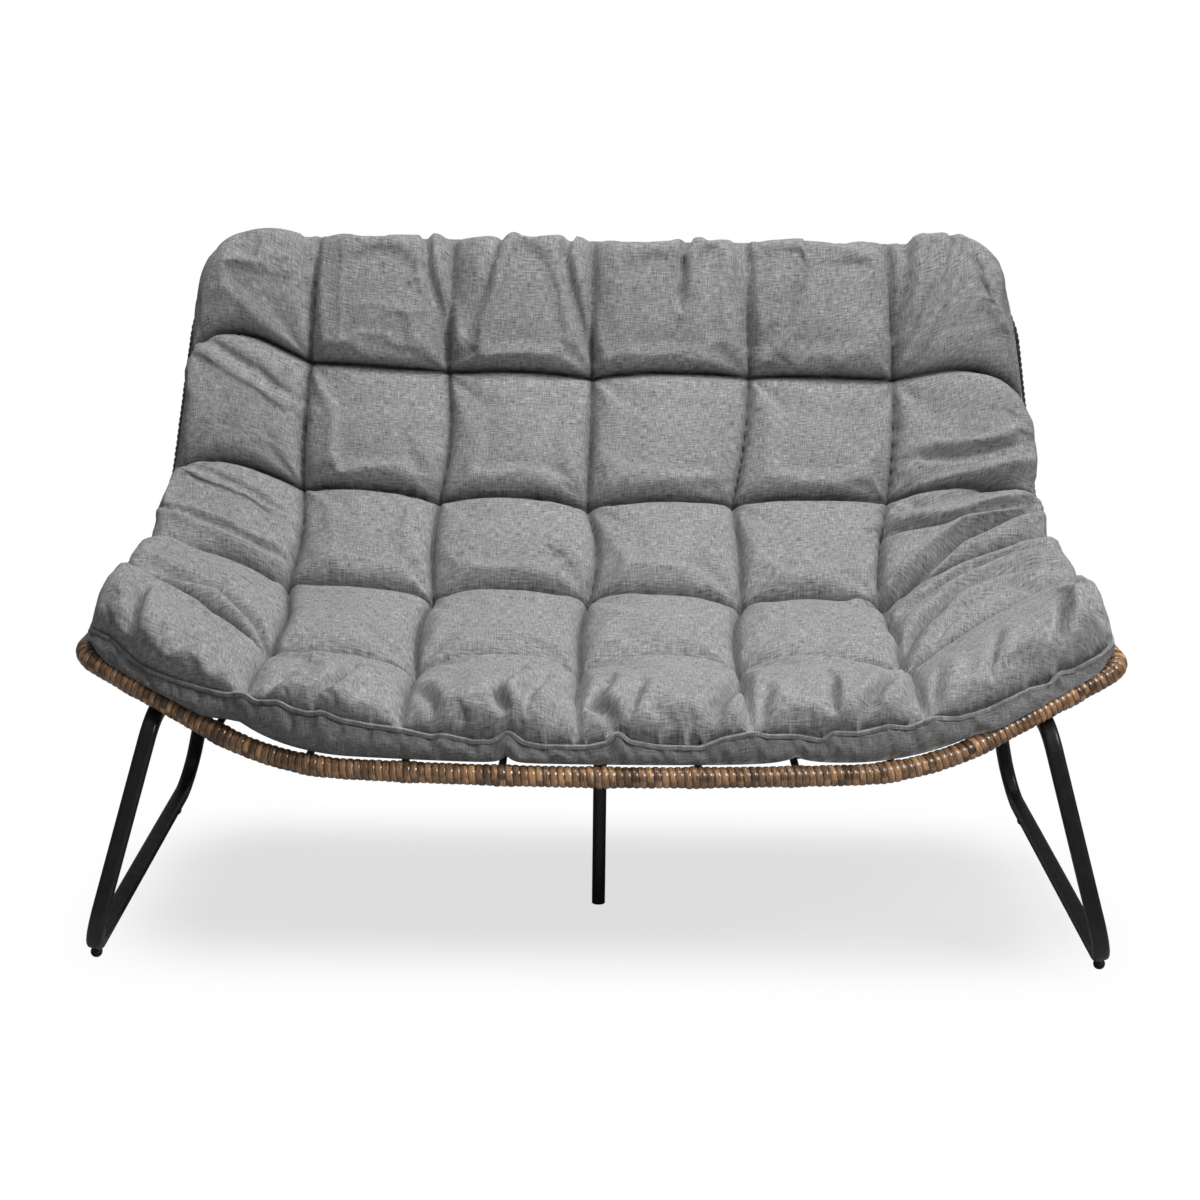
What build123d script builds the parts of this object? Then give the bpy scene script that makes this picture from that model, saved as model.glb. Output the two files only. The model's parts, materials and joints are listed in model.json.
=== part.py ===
from build123d import *
from math import acos, atan2, cos, degrees, radians, sin, sqrt, tan
import os

os.makedirs("parts", exist_ok=True)

# Overall size: X runs along the seat, Y from front to back, Z up from the floor
overall_width = 1420.0
overall_depth = 870.0
rim_top_height = 876.0

# Rim of the scoop: a steel tube wound with rattan
rim_tube_diameter = 22.0
rim_tube_wall = 1.5
winding_thickness = 3.2
front_low_height = 296.0
front_bow_radius = 2000.0
shoulder_half_width = 420.0
shoulder_setback = 43.0
shoulder_drop = 3.0
shoulder_radius = 430.0
corner_setback = 172.0
corner_height = 402.0
corner_radius = 45.0
side_toe_in_share = 0.0706
side_lean_share = 0.0458
top_corner_radius = 130.0

# Scoop: where the seat line and the back line meet, at the middle and at the sides
middle_knee_setback = 201.6
middle_knee_height = 335.0
middle_knee_radius = 700.0
side_knee_setback = 216.6
side_knee_height = 430.0
side_knee_radius = 260.0

# Rods and weave
rod_diameter = 10.0
rod_pitch = 124.0
rods_each_side = 5
weave_thickness = 6.5
weave_skin = 2.0
weave_setback = 72.0
weave_side_share = 0.985

# Crosswise bearers of rectangular tube under the rods
bearer_width = 25.0
bearer_height = 15.0
bearer_wall = 1.5
bearer_bend_radius = 60.0
bearer_end_overhang = 30.0
bearer_weld_sink = 0.9
bearer_seat_sink = 0.5
front_bearer_depth = 314.0
front_bearer_rise_half_width = 432.0
rear_bearer_setback = 321.6
rear_bearer_rise_half_width = 535.0
bearer_last_rod = 3

# Sled leg loops of rounded square tube
loop_tube_size = 22.0
loop_tube_corner = 6.0
loop_tube_wall = 1.5
loop_foot_half_width = 678.0
loop_top_half_width = 592.0
loop_front_foot_depth = 32.0
loop_rear_foot_setback = 85.6
loop_front_top_depth = 116.0
loop_rear_top_setback = 210.6
rail_height = 29.0
loop_bottom_radius = 50.0
loop_top_radius = 40.0
loop_return_length = 78.0

# Centre leg
centre_leg_diameter = 19.0
centre_leg_wall = 1.5
centre_flange_length = 64.0
centre_flange_width = 34.0
centre_flange_thickness = 4.0
centre_screw_spacing = 44.0
glide_flange_height = 5.0
glide_plug_length = 18.0

# Levellers under the rails
leveller_front_depth = 103.0
leveller_rear_setback = 170.6
leveller_ball_diameter = 16.0
leveller_flat_cut = 1.2
leveller_ball_top_cut = 1.0
leveller_thread_diameter = 8.0
leveller_thread_spare = 0.5
leveller_collar_diameter = 10.0
leveller_tip_diameter = 5.0
leveller_tip_length = 4.0
leveller_travel = 7.5
insert_diameter = 11.0
insert_flange_diameter = 15.0
insert_flange_height = 1.2
insert_length = 8.0
running_clearance = 0.06

# Fasteners
bolt_diameter = 8.0
bolt_head_diameter = 18.0
bolt_head_height = 3.5
bolt_head_edge = 1.5
bolt_seat_sink = 0.4
bolt_tail = 3.0
washer_diameter = 16.0
washer_thickness = 1.6
nut_width = 13.0
nut_height = 6.5
screw_diameter = 6.0
screw_head_diameter = 10.5
screw_head_height = 3.3
screw_reach = 9.0

# Cushion
cushion_gap = 2.8
cushion_rim_gap = 1.2
cushion_side_gap = 7.5
cushion_side_share = 0.99
cushion_seam_height = 45.0
cushion_top_overhang = 30.0
cushion_tack_height = 62.0
cushion_crease_height = 84.0
cushion_crown_height = 116.0
cushion_channel_height = 88.0
cushion_wing_height = 100.0
cushion_wing_tack_height = 84.0
cushion_edge_share = 0.89
cushion_edge_height = 78.0
cushion_edge_tack_height = 66.0
cushion_seam_bow = 4.0
tack_column_pitch = 226.0
tack_row_share = (0.22, 0.407, 0.62, 0.831)

rim_radius = rim_tube_diameter / 2 + winding_thickness
front_y = -overall_depth / 2 + rim_radius
back_y = overall_depth / 2 - rim_radius
top_z = rim_top_height - rim_radius
corner_x = overall_width / 2 - rim_radius
corner_y = front_y + corner_setback
rod_radius = rod_diameter / 2


def half_width(y, z):
    """Half width of the scoop at a height and depth: its sides lie in two leaning planes."""
    toe_in = side_toe_in_share * (y - corner_y)
    lean = side_lean_share * (z - corner_height)
    return corner_x - toe_in - lean


def on_scoop(share, y, z):
    """Point on the scoop at a share of its half width."""
    return Vector(share * half_width(y, z), y, z)


def mirrored(point):
    return Vector(-point.X, point.Y, point.Z)


# Centre lines of the rim
shoulder = Vector(shoulder_half_width, front_y + shoulder_setback, front_low_height - shoulder_drop)
front_corner = Vector(corner_x, corner_y, corner_height)
side_knee = on_scoop(1, back_y - side_knee_setback, side_knee_height)
top_corner = on_scoop(1, back_y, top_z)
bow_angle = atan2(shoulder_setback, shoulder_half_width)
front_middle = Vector(0, front_y - front_bow_radius * (1 / cos(bow_angle) - 1), front_low_height)


def knee_angle(start, knee, end):
    """Turn of a line at its knee, in radians."""
    return radians((knee - start).get_angle(end - knee))


side_tangent = side_knee_radius * tan(knee_angle(front_corner, side_knee, top_corner) / 2)
side_joint = side_knee + (front_corner - side_knee).normalized() * side_tangent

with BuildLine() as seat_rim_line:
    FilletPolyline(
        mirrored(side_joint),
        mirrored(front_corner),
        mirrored(shoulder),
        front_middle,
        shoulder,
        front_corner,
        side_joint,
        radius=(corner_radius, shoulder_radius, front_bow_radius, shoulder_radius, corner_radius),
    )

with BuildLine() as back_rim_line:
    FilletPolyline(
        mirrored(side_joint + (front_corner - side_knee).normalized() * rim_radius),
        mirrored(side_knee),
        mirrored(top_corner),
        top_corner,
        side_knee,
        side_joint + (front_corner - side_knee).normalized() * rim_radius,
        radius=(side_knee_radius, top_corner_radius, top_corner_radius, side_knee_radius),
    )


def front_point(share):
    """Point of the front rim's centre line at a share of the half width."""
    wire = seat_rim_line.wires()[0]
    low, high = 0.5, 1.0
    for _ in range(40):
        middle = (low + high) / 2
        point = wire.position_at(middle)
        turned = point.Y > corner_y - corner_radius and point.X > corner_x - corner_radius / 2
        if turned or point.X > abs(share) * half_width(point.Y, point.Z):
            high = middle
        else:
            low = middle
    return wire.position_at(low)


class Profile:
    """Front to back line of the scoop at one share of its half width: line, arc, line."""

    def __init__(self, share):
        self.share = share
        blend = share**2
        front = front_point(share)
        self.front = Vector(front.Y, front.Z)
        setback = middle_knee_setback + (side_knee_setback - middle_knee_setback) * blend
        knee_height = middle_knee_height + (side_knee_height - middle_knee_height) * blend
        self.radius = middle_knee_radius + (side_knee_radius - middle_knee_radius) * blend
        self.knee = Vector(back_y - setback, knee_height)
        corner_top = Vector(back_y, top_z)
        self.back = (corner_top - self.knee).normalized()
        inset = (1 - abs(share)) * half_width(back_y, top_z)
        drop = 0
        if inset < top_corner_radius:
            drop = top_corner_radius - sqrt(top_corner_radius**2 - (top_corner_radius - inset) ** 2)
        self.top = corner_top - self.back * drop
        self.seat = (self.knee - self.front).normalized()
        self.turn = acos(self.seat.dot(self.back))
        tangent = self.radius * tan(self.turn / 2)
        self.seat_length = (self.knee - self.front).length - tangent
        self.arc_length = self.radius * self.turn
        self.back_length = (self.top - self.knee).length - tangent
        self.length = self.seat_length + self.arc_length + self.back_length
        self.seat_normal = Vector(-self.seat.Y, self.seat.X)
        self.arc_centre = self.front + self.seat * self.seat_length + self.seat_normal * self.radius

    def at(self, distance, lift=0.0):
        """Point at a distance along the line, lifted towards the sitter."""
        if distance < self.seat_length:
            flat = self.front + self.seat * distance + self.seat_normal * lift
        elif distance < self.seat_length + self.arc_length:
            turned = degrees((distance - self.seat_length) / self.radius)
            normal = self.seat_normal.rotate(Axis.Z, turned)
            flat = self.arc_centre - normal * (self.radius - lift)
        else:
            normal = self.seat_normal.rotate(Axis.Z, degrees(self.turn))
            flat = self.arc_centre - normal * (self.radius - lift)
            flat += self.back * (distance - self.seat_length - self.arc_length)
        return on_scoop(self.share, flat.X, flat.Y)

    def run(self, start_lift, bend_lift, end_lift, start, end):
        """Edges of the line between two distances, lifted at its start, bend and end."""
        bend_start = self.seat_length
        bend_end = self.seat_length + self.arc_length
        first = self.at(bend_start, bend_lift)
        last = self.at(bend_end, bend_lift)
        Line(self.at(start, start_lift), first)
        ThreePointArc(first, self.at((bend_start + bend_end) / 2, bend_lift), last)
        Line(last, self.at(end, end_lift))


def mirrored_shares(shares):
    """The same shares on both sides of the middle, from left to right."""
    return sorted({-share for share in shares} | set(shares))


def tube_on(line, outer_radius, inner_radius):
    """Ring of a tube's section at the start of its centre line."""
    start = Plane(origin=line @ 0, z_dir=line % 0)
    with BuildSketch(start) as ring:
        Circle(outer_radius)
        if inner_radius:
            Circle(inner_radius, mode=Mode.SUBTRACT)
    return ring.sketch


def keep(part, name):
    """Label a finished piece and write it."""
    part.label = name
    export_step(part, f"parts/{name}.step")


# Rim tube: the seat's half and the back's half, butted at the side runs
rim_tube_radius = rim_tube_diameter / 2
rim_bore_radius = rim_tube_radius - rim_tube_wall
seat_path = seat_rim_line.wires()[0]
back_path = back_rim_line.wires()[0]

with BuildPart() as seat_rim_tube:
    sweep(sections=tube_on(seat_path, rim_tube_radius, rim_bore_radius), path=seat_path)

with BuildPart() as back_rim_tube:
    sweep(sections=tube_on(back_path, rim_tube_radius, rim_bore_radius), path=back_path)
    with BuildSketch(Plane(origin=side_joint, z_dir=front_corner - side_knee)):
        Circle(2 * rim_radius)
    with BuildSketch(Plane(origin=mirrored(side_joint), z_dir=mirrored(front_corner - side_knee))):
        Circle(2 * rim_radius)
    extrude(amount=2 * rim_radius, mode=Mode.SUBTRACT)

with BuildPart() as rim_tube_body:
    sweep(sections=tube_on(seat_path, rim_tube_radius, 0), path=seat_path)
    sweep(sections=tube_on(back_path, rim_tube_radius, 0), path=back_path)

with BuildPart() as wound_rim_body:
    sweep(sections=tube_on(seat_path, rim_radius, 0), path=seat_path)
    sweep(sections=tube_on(back_path, rim_radius, 0), path=back_path)

# Rods from the front rim to the top rim
rod_profiles = [
    Profile(number * rod_pitch / corner_x) for number in range(-rods_each_side, rods_each_side + 1)
]
rods = []
for profile in rod_profiles:
    knee = on_scoop(profile.share, profile.knee.X, profile.knee.Y)
    with BuildLine() as rod_line:
        FilletPolyline(profile.at(0), knee, profile.at(profile.length), radius=profile.radius)
    rod_path = rod_line.wires()[0]
    with BuildPart() as rod:
        sweep(sections=tube_on(rod_path, rod_radius, 0), path=rod_path)
        add(rim_tube_body.part, mode=Mode.SUBTRACT)
    rods.append(rod.part)

with BuildPart() as seat_rim_winding:
    sweep(sections=tube_on(seat_path, rim_radius, rim_tube_radius), path=seat_path)
    add(rods, mode=Mode.SUBTRACT)

with BuildPart() as back_rim_winding:
    sweep(sections=tube_on(back_path, rim_radius, rim_tube_radius), path=back_path)
    with BuildSketch(Plane(origin=side_joint, z_dir=front_corner - side_knee)):
        Circle(2 * rim_radius)
    with BuildSketch(Plane(origin=mirrored(side_joint), z_dir=mirrored(front_corner - side_knee))):
        Circle(2 * rim_radius)
    extrude(amount=2 * rim_radius, mode=Mode.SUBTRACT)
    add(rods, mode=Mode.SUBTRACT)

# Woven shell over the rods, in two panels that meet in the bend
weave_top_lift = rod_radius + weave_skin
weave_low_lift = weave_top_lift - weave_thickness


def weave_section(share):
    """Closed outline of the weave at one share of the half width."""
    profile = Profile(share)
    ends = weave_setback, profile.length
    with BuildLine() as outline:
        profile.run(weave_top_lift, weave_top_lift, weave_top_lift, *ends)
        profile.run(weave_low_lift, weave_low_lift, weave_low_lift, *ends)
        for distance in ends:
            Line(profile.at(distance, weave_top_lift), profile.at(distance, weave_low_lift))
    return Face(outline.wires()[0])


weave_shares = sorted([-weave_side_share, *(rod.share for rod in rod_profiles), weave_side_share])
middle_profile = Profile(0)
bend_middle = middle_profile.seat_length + middle_profile.arc_length / 2
bend_tangent = middle_profile.at(bend_middle + rod_radius) - middle_profile.at(bend_middle)
bend_plane = Plane(origin=middle_profile.at(bend_middle), z_dir=bend_tangent)

with BuildPart() as weave_body:
    loft(sections=[weave_section(share) for share in weave_shares], ruled=True)
    add(wound_rim_body.part, mode=Mode.SUBTRACT)
    add(rods, mode=Mode.SUBTRACT)

with BuildPart() as seat_weave:
    add(weave_body.part)
    split(bisect_by=bend_plane, keep=Keep.BOTTOM)

with BuildPart() as back_weave:
    add(weave_body.part)
    split(bisect_by=bend_plane, keep=Keep.TOP)

# Leg loops: each lies in a leaning plane, drawn as depth and height along the lean
loop_half = loop_tube_size / 2
loop_profile = Profile(loop_top_half_width / corner_x)
loop_drop = rod_radius + bearer_height + loop_half
seat_slope = atan2(loop_profile.seat.Y, loop_profile.seat.X)
loop_front_top_y = front_y + loop_front_top_depth
loop_rear_top_y = back_y - loop_rear_top_setback
seat_rise = (loop_front_top_y - loop_profile.front.X) * tan(seat_slope)
loop_front_top_z = loop_profile.front.Y + seat_rise - loop_drop / cos(seat_slope)
loop_rear_top_z = loop_front_top_z + (loop_rear_top_y - loop_front_top_y) * tan(seat_slope)
splay = atan2(loop_foot_half_width - loop_top_half_width, loop_front_top_z)
front_top = Vector(loop_front_top_y, loop_front_top_z / cos(splay))
rear_top = Vector(loop_rear_top_y, loop_rear_top_z / cos(splay))
front_foot = Vector(front_y + loop_front_foot_depth, rail_height / cos(splay))
rear_foot = Vector(back_y - loop_rear_foot_setback, rail_height / cos(splay))
bar_direction = (rear_top - front_top).normalized()
bar_front = front_top + bar_direction * loop_return_length
bar_rear = rear_top - bar_direction * loop_return_length


def flat(point):
    """A point of a loop's plane as two plain numbers."""
    return point.X, point.Y



def loop_plane(side):
    """Plane of a leg loop: side is 1 on the right and -1 on the left."""
    return Plane(
        origin=(side * loop_foot_half_width, 0, 0),
        x_dir=(0, 1, 0),
        z_dir=(cos(splay), 0, side * sin(splay)),
    )


def loop_section(plane, line):
    """Rounded square tube section at the start of a line in a loop's plane."""
    bore = loop_tube_size - 2 * loop_tube_wall
    with BuildSketch(Plane(origin=line @ 0, x_dir=plane.z_dir, z_dir=line % 0)) as section:
        RectangleRounded(loop_tube_size, loop_tube_size, loop_tube_corner)
        RectangleRounded(bore, bore, loop_tube_corner - loop_tube_wall, mode=Mode.SUBTRACT)
    return section.sketch


# Crosswise bearers
class Bearer:
    """Centre line of a crosswise bearer, drawn in a plane square to the leg loops' top bars."""

    def __init__(self, y, first_rod, rise_half_width):
        along = (y - front_top.X) / bar_direction.X
        self.crossing = front_top + bar_direction * along
        self.crossing_x = loop_foot_half_width - self.crossing.Y * sin(splay)
        self.plane = Plane(
            origin=(0, self.crossing.X, self.crossing.Y * cos(splay)),
            x_dir=(1, 0, 0),
            z_dir=(0, -cos(seat_slope), -sin(seat_slope)),
        )
        seated = loop_half + bearer_height / 2 - bearer_seat_sink
        self.crossing_height = seated / cos(splay)
        under_rods = [self.under_rod(number) for number in range(first_rod, bearer_last_rod + 1)]
        self.level = under_rods[0][1]
        right = [
            *under_rods,
            (rise_half_width, self.outer_height(rise_half_width)),
            self.end_point(),
        ]
        left = [(-x, height) for x, height in reversed(right) if x > 0]
        self.points = [*left, *right]

    def outer_height(self, x):
        return self.crossing_height + (x - self.crossing_x) * tan(splay)

    def end_point(self):
        end_x = self.crossing_x + bearer_end_overhang
        return end_x, self.outer_height(end_x)

    def rod_at(self, profile, edge):
        """Place of a rod over the bearer's plane, at an edge of the bearer's width."""
        low, high = 0.0, profile.length
        for _ in range(40):
            middle = (low + high) / 2
            if self.plane.to_local_coords(profile.at(middle)).Z > edge:
                low = middle
            else:
                high = middle
        return self.plane.to_local_coords(profile.at(low))

    def under_rod(self, number):
        """Centre of the bearer where it is welded under a rod, in the bearer's plane."""
        profile = Profile(number * rod_pitch / corner_x)
        edges = [self.rod_at(profile, edge) for edge in (bearer_width / 2, -bearer_width / 2)]
        lowest = min(edge.Y for edge in edges)
        x = self.rod_at(profile, 0).X
        return x, lowest - rod_radius - bearer_height / 2 + bearer_weld_sink


def bearer_tube(bearer, cuts):
    """Hollow bearer, notched where the given solids pass."""
    with BuildLine(bearer.plane) as line:
        FilletPolyline(*bearer.points, radius=bearer_bend_radius)
    path = line.wires()[0]
    with BuildSketch(Plane(origin=path @ 0, x_dir=bearer.plane.z_dir, z_dir=path % 0)) as section:
        Rectangle(bearer_width, bearer_height)
        bore = bearer_width - 2 * bearer_wall, bearer_height - 2 * bearer_wall
        Rectangle(*bore, mode=Mode.SUBTRACT)
    with BuildPart() as tube:
        sweep(sections=section.sketch, path=path)
        add(cuts, mode=Mode.SUBTRACT)
    return tube.part


front_bearer = Bearer(front_y + front_bearer_depth, 1, front_bearer_rise_half_width)
rear_bearer = Bearer(back_y - rear_bearer_setback, 0, rear_bearer_rise_half_width)

# Carriage bolts, washers and nuts where the bearers cross the leg loops' top bars
bolt_planes = []
for side in (-1, 1):
    plane = loop_plane(side)
    for bearer in (front_bearer, rear_bearer):
        up = bar_direction.rotate(Axis.Z, 90)
        origin = plane.from_local_coords(bearer.crossing)
        bolt_planes.append(Plane(origin=origin, z_dir=plane.from_local_coords(up) - plane.origin))
bolt_seat = loop_half + bearer_height - bearer_seat_sink - bolt_seat_sink
bolt_reach = loop_half + washer_thickness + nut_height + bolt_tail

with BuildPart() as bolts:
    for plane in bolt_planes:
        with BuildSketch(plane.offset(-bolt_reach)):
            Circle(bolt_diameter / 2)
        extrude(amount=bolt_reach + bolt_seat)
        with BuildSketch(plane.offset(bolt_seat)):
            Circle(bolt_head_diameter / 2)
        head = extrude(amount=bolt_head_height)
        chamfer(head.edges().sort_by(Axis(plane.origin, plane.z_dir))[-1], bolt_head_edge)

with BuildPart() as washers:
    for plane in bolt_planes:
        with BuildSketch(plane.offset(-loop_half)):
            Circle(washer_diameter / 2)
            Circle(bolt_diameter / 2, mode=Mode.SUBTRACT)
        extrude(amount=-washer_thickness)

with BuildPart() as nuts:
    for plane in bolt_planes:
        with BuildSketch(plane.offset(-loop_half - washer_thickness)):
            RegularPolygon(nut_width / 2, 6, major_radius=False)
            Circle(bolt_diameter / 2, mode=Mode.SUBTRACT)
        extrude(amount=-nut_height)

# Levellers: planes at the rails' undersides, looking down along the lean
leveller_planes = {}
for side, side_name in ((-1, "left"), (1, "right")):
    plane = loop_plane(side)
    down = plane.from_local_coords(Vector(0, -1)) - plane.origin
    for y, end_name in (
        (front_y + leveller_front_depth, "front"),
        (back_y - leveller_rear_setback, "rear"),
    ):
        origin = plane.from_local_coords(Vector(y, front_foot.Y - loop_half))
        leveller_planes[f"{end_name}_{side_name}"] = Plane(origin=origin, z_dir=down)
thread_length = insert_length + leveller_travel + leveller_thread_spare
ball_radius = leveller_ball_diameter / 2
ball_depth = front_foot.Y - loop_half - (ball_radius - leveller_flat_cut) / cos(splay)
ball_top_depth = ball_depth - ball_radius + leveller_ball_top_cut
thread_radius = leveller_thread_diameter / 2
tip_radius = leveller_tip_diameter / 2

with BuildPart() as inserts:
    for plane in leveller_planes.values():
        with BuildSketch(plane):
            Circle(insert_flange_diameter / 2)
            Circle(thread_radius + running_clearance, mode=Mode.SUBTRACT)
        extrude(amount=insert_flange_height)
        with BuildSketch(plane):
            Circle(insert_diameter / 2)
            Circle(thread_radius + running_clearance, mode=Mode.SUBTRACT)
        extrude(amount=-insert_length)

for place, plane in leveller_planes.items():
    with BuildPart() as stud:
        with BuildSketch(plane.offset(-thread_length)):
            Circle(thread_radius)
        extrude(amount=thread_length + insert_flange_height)
        with BuildSketch(plane.offset(insert_flange_height)):
            Circle(leveller_collar_diameter / 2)
        extrude(amount=ball_top_depth - insert_flange_height)
        with BuildSketch(plane.offset(ball_top_depth)):
            Circle(tip_radius)
        extrude(amount=leveller_tip_length)
    keep(stud.part, f"leveller_stud_{place}")
    with BuildPart() as ball:
        with Locations(plane.offset(ball_depth)):
            Sphere(ball_radius)
        with BuildSketch(plane.offset(ball_top_depth)):
            Circle(ball_radius)
        extrude(amount=-ball_radius, mode=Mode.SUBTRACT)
        with BuildSketch(plane.offset(ball_top_depth)):
            Circle(tip_radius + running_clearance)
        extrude(amount=leveller_tip_length + running_clearance, mode=Mode.SUBTRACT)
        with BuildSketch(Plane(origin=(plane.origin.X, plane.origin.Y, 0))):
            Rectangle(3 * leveller_ball_diameter, 3 * leveller_ball_diameter)
        extrude(amount=-leveller_ball_diameter, mode=Mode.SUBTRACT)
    keep(ball.part, f"leveller_foot_{place}")

with BuildPart() as insert_holes:
    for plane in leveller_planes.values():
        with BuildSketch(plane):
            Circle(insert_diameter / 2)
        extrude(amount=-2 * loop_tube_wall)

top_bar_bodies = []
for side, side_name in ((-1, "left"), (1, "right")):
    plane = loop_plane(side)
    with BuildLine(plane) as loop_line:
        FilletPolyline(
            flat(bar_front),
            flat(front_top),
            flat(front_foot),
            flat(rear_foot),
            flat(rear_top),
            flat(bar_rear),
            radius=(loop_top_radius, loop_bottom_radius, loop_bottom_radius, loop_top_radius),
        )
    loop_path = loop_line.wires()[0]
    with BuildPart() as leg_loop:
        sweep(sections=loop_section(plane, loop_path), path=loop_path)
        add(insert_holes.part, mode=Mode.SUBTRACT)
    keep(leg_loop.part, f"leg_loop_{side_name}")
    with BuildLine(plane) as bar_line:
        Line(flat(bar_front), flat(bar_rear))
    bar_path = bar_line.wires()[0]
    with BuildPart() as top_bar:
        sweep(sections=loop_section(plane, bar_path), path=bar_path)
        add(bolts.part, mode=Mode.SUBTRACT)
    keep(top_bar.part, f"loop_top_bar_{side_name}")
    top_bar_bodies.append(top_bar.part)

# Centre leg with its flange, screws and glide
flange_plane = Plane(
    origin=front_bearer.plane.from_local_coords(
        Vector(0, front_bearer.level - bearer_height / 2)
    ),
    x_dir=(1, 0, 0),
    z_dir=-front_bearer.plane.y_dir,
)
leg_radius = centre_leg_diameter / 2
leg_bore_radius = leg_radius - centre_leg_wall
leg_y = flange_plane.origin.Y

with BuildPart() as centre_screws:
    for offset_x in (-centre_screw_spacing / 2, centre_screw_spacing / 2):
        with BuildSketch(flange_plane.offset(centre_flange_thickness)):
            with Locations((offset_x, 0)):
                Circle(screw_diameter / 2)
        extrude(amount=-centre_flange_thickness - screw_reach)
        with BuildSketch(flange_plane.offset(centre_flange_thickness)):
            with Locations((offset_x, 0)):
                Circle(screw_head_diameter / 2)
        extrude(amount=screw_head_height)

with BuildPart() as centre_flange:
    with BuildSketch(flange_plane):
        RectangleRounded(centre_flange_length, centre_flange_width, centre_flange_thickness)
    extrude(amount=centre_flange_thickness)
    add(centre_screws.part, mode=Mode.SUBTRACT)

with BuildPart() as centre_leg:
    with BuildSketch(Plane.XY.offset(glide_flange_height)):
        with Locations((0, leg_y)):
            Circle(leg_radius)
            Circle(leg_bore_radius, mode=Mode.SUBTRACT)
    extrude(amount=flange_plane.origin.Z)
    split(bisect_by=flange_plane.offset(centre_flange_thickness), keep=Keep.TOP)

with BuildPart() as centre_glide:
    with BuildSketch():
        with Locations((0, leg_y)):
            Circle(leg_radius)
    extrude(amount=glide_flange_height)
    with BuildSketch(Plane.XY.offset(glide_flange_height)):
        with Locations((0, leg_y)):
            Circle(leg_bore_radius)
    extrude(amount=glide_plug_length)

front_bearer_tube = bearer_tube(
    front_bearer, [*rods, *top_bar_bodies, bolts.part, centre_screws.part]
)
rear_bearer_tube = bearer_tube(rear_bearer, [*rods, *top_bar_bodies, bolts.part])

# Cushion: an underside that follows the scoop, and a top sewn down at its tacks
cushion_low_lift = weave_top_lift + cushion_gap
cushion_rim_lift = rim_radius + cushion_rim_gap
cushion_side_lift = rim_radius + cushion_side_gap


def cushion_section(share, row_lift, crown_lift, low_lift):
    """Closed outline of the cushion, with a crown between each two rows of tacks."""
    profile = Profile(share)
    end = profile.length + cushion_top_overhang
    rows = [row * profile.length for row in tack_row_share]
    stops = [0.0, *rows, end]
    lifts = [cushion_seam_height, *(row_lift for _ in rows), cushion_seam_height]
    points = [profile.at(distance, lift) for distance, lift in zip(stops, lifts)]
    rim_lift = max(cushion_rim_lift, low_lift)
    rise = (rim_lift - low_lift) / profile.back_length
    end_lift = rim_lift + rise * cushion_top_overhang
    with BuildLine() as outline:
        profile.run(rim_lift, low_lift, end_lift, 0.0, end)
        Line(profile.at(0.0, rim_lift), points[0])
        Line(profile.at(end, end_lift), points[-1])
        for number, (first, last) in enumerate(zip(points, points[1:])):
            distance = (stops[number] + stops[number + 1]) / 2
            ThreePointArc(first, profile.at(distance, crown_lift), last)
    return Face(outline.wires()[0])


cushion_sections = {
    0.0: (cushion_tack_height, cushion_channel_height, cushion_low_lift),
    cushion_edge_share: (cushion_edge_tack_height, cushion_edge_height, cushion_low_lift),
    cushion_side_share: (
        cushion_seam_height,
        cushion_seam_height + cushion_seam_bow,
        cushion_side_lift,
    ),
}
for column in (1, 2):
    column_share = column * tack_column_pitch / corner_x
    cushion_sections[column_share] = cushion_sections[0.0]
    crown_share = (column - 1 / 2) * tack_column_pitch / corner_x
    cushion_sections[crown_share] = (
        cushion_crease_height,
        cushion_crown_height,
        cushion_low_lift,
    )
wing_share = (column_share + cushion_edge_share) / 2
cushion_sections[wing_share] = cushion_wing_tack_height, cushion_wing_height, cushion_low_lift

with BuildPart() as cushion:
    loft(
        sections=[
            cushion_section(share, *cushion_sections[abs(share)])
            for share in mirrored_shares(cushion_sections)
        ],
        ruled=True,
    )

for finished, name in (
    (seat_rim_tube, "seat_rim_tube"),
    (back_rim_tube, "back_rim_tube"),
    (seat_rim_winding, "seat_rim_winding"),
    (back_rim_winding, "back_rim_winding"),
    (seat_weave, "seat_weave"),
    (back_weave, "back_weave"),
    (bolts, "carriage_bolts"),
    (washers, "bolt_washers"),
    (nuts, "bolt_nuts"),
    (inserts, "leveller_inserts"),
    (centre_leg, "centre_leg"),
    (centre_flange, "centre_leg_flange"),
    (centre_screws, "centre_leg_screws"),
    (centre_glide, "centre_leg_glide"),
):
    keep(finished.part, name)
for number, rod_part in enumerate(rods, start=1):
    keep(rod_part, f"rod_{number:02d}")
keep(front_bearer_tube, "front_bearer")
keep(rear_bearer_tube, "rear_bearer")
keep(cushion.part, "cushion")
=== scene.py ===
"""Double papasan chair: cushion, wound rims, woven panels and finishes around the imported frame."""

import json
from math import acos, atan2, cos, pi, radians, sin, sqrt, tan

import bpy
import numpy as np
from bpy.props import FloatProperty, FloatVectorProperty, IntProperty, PointerProperty
from mathutils import Matrix, Vector


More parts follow.
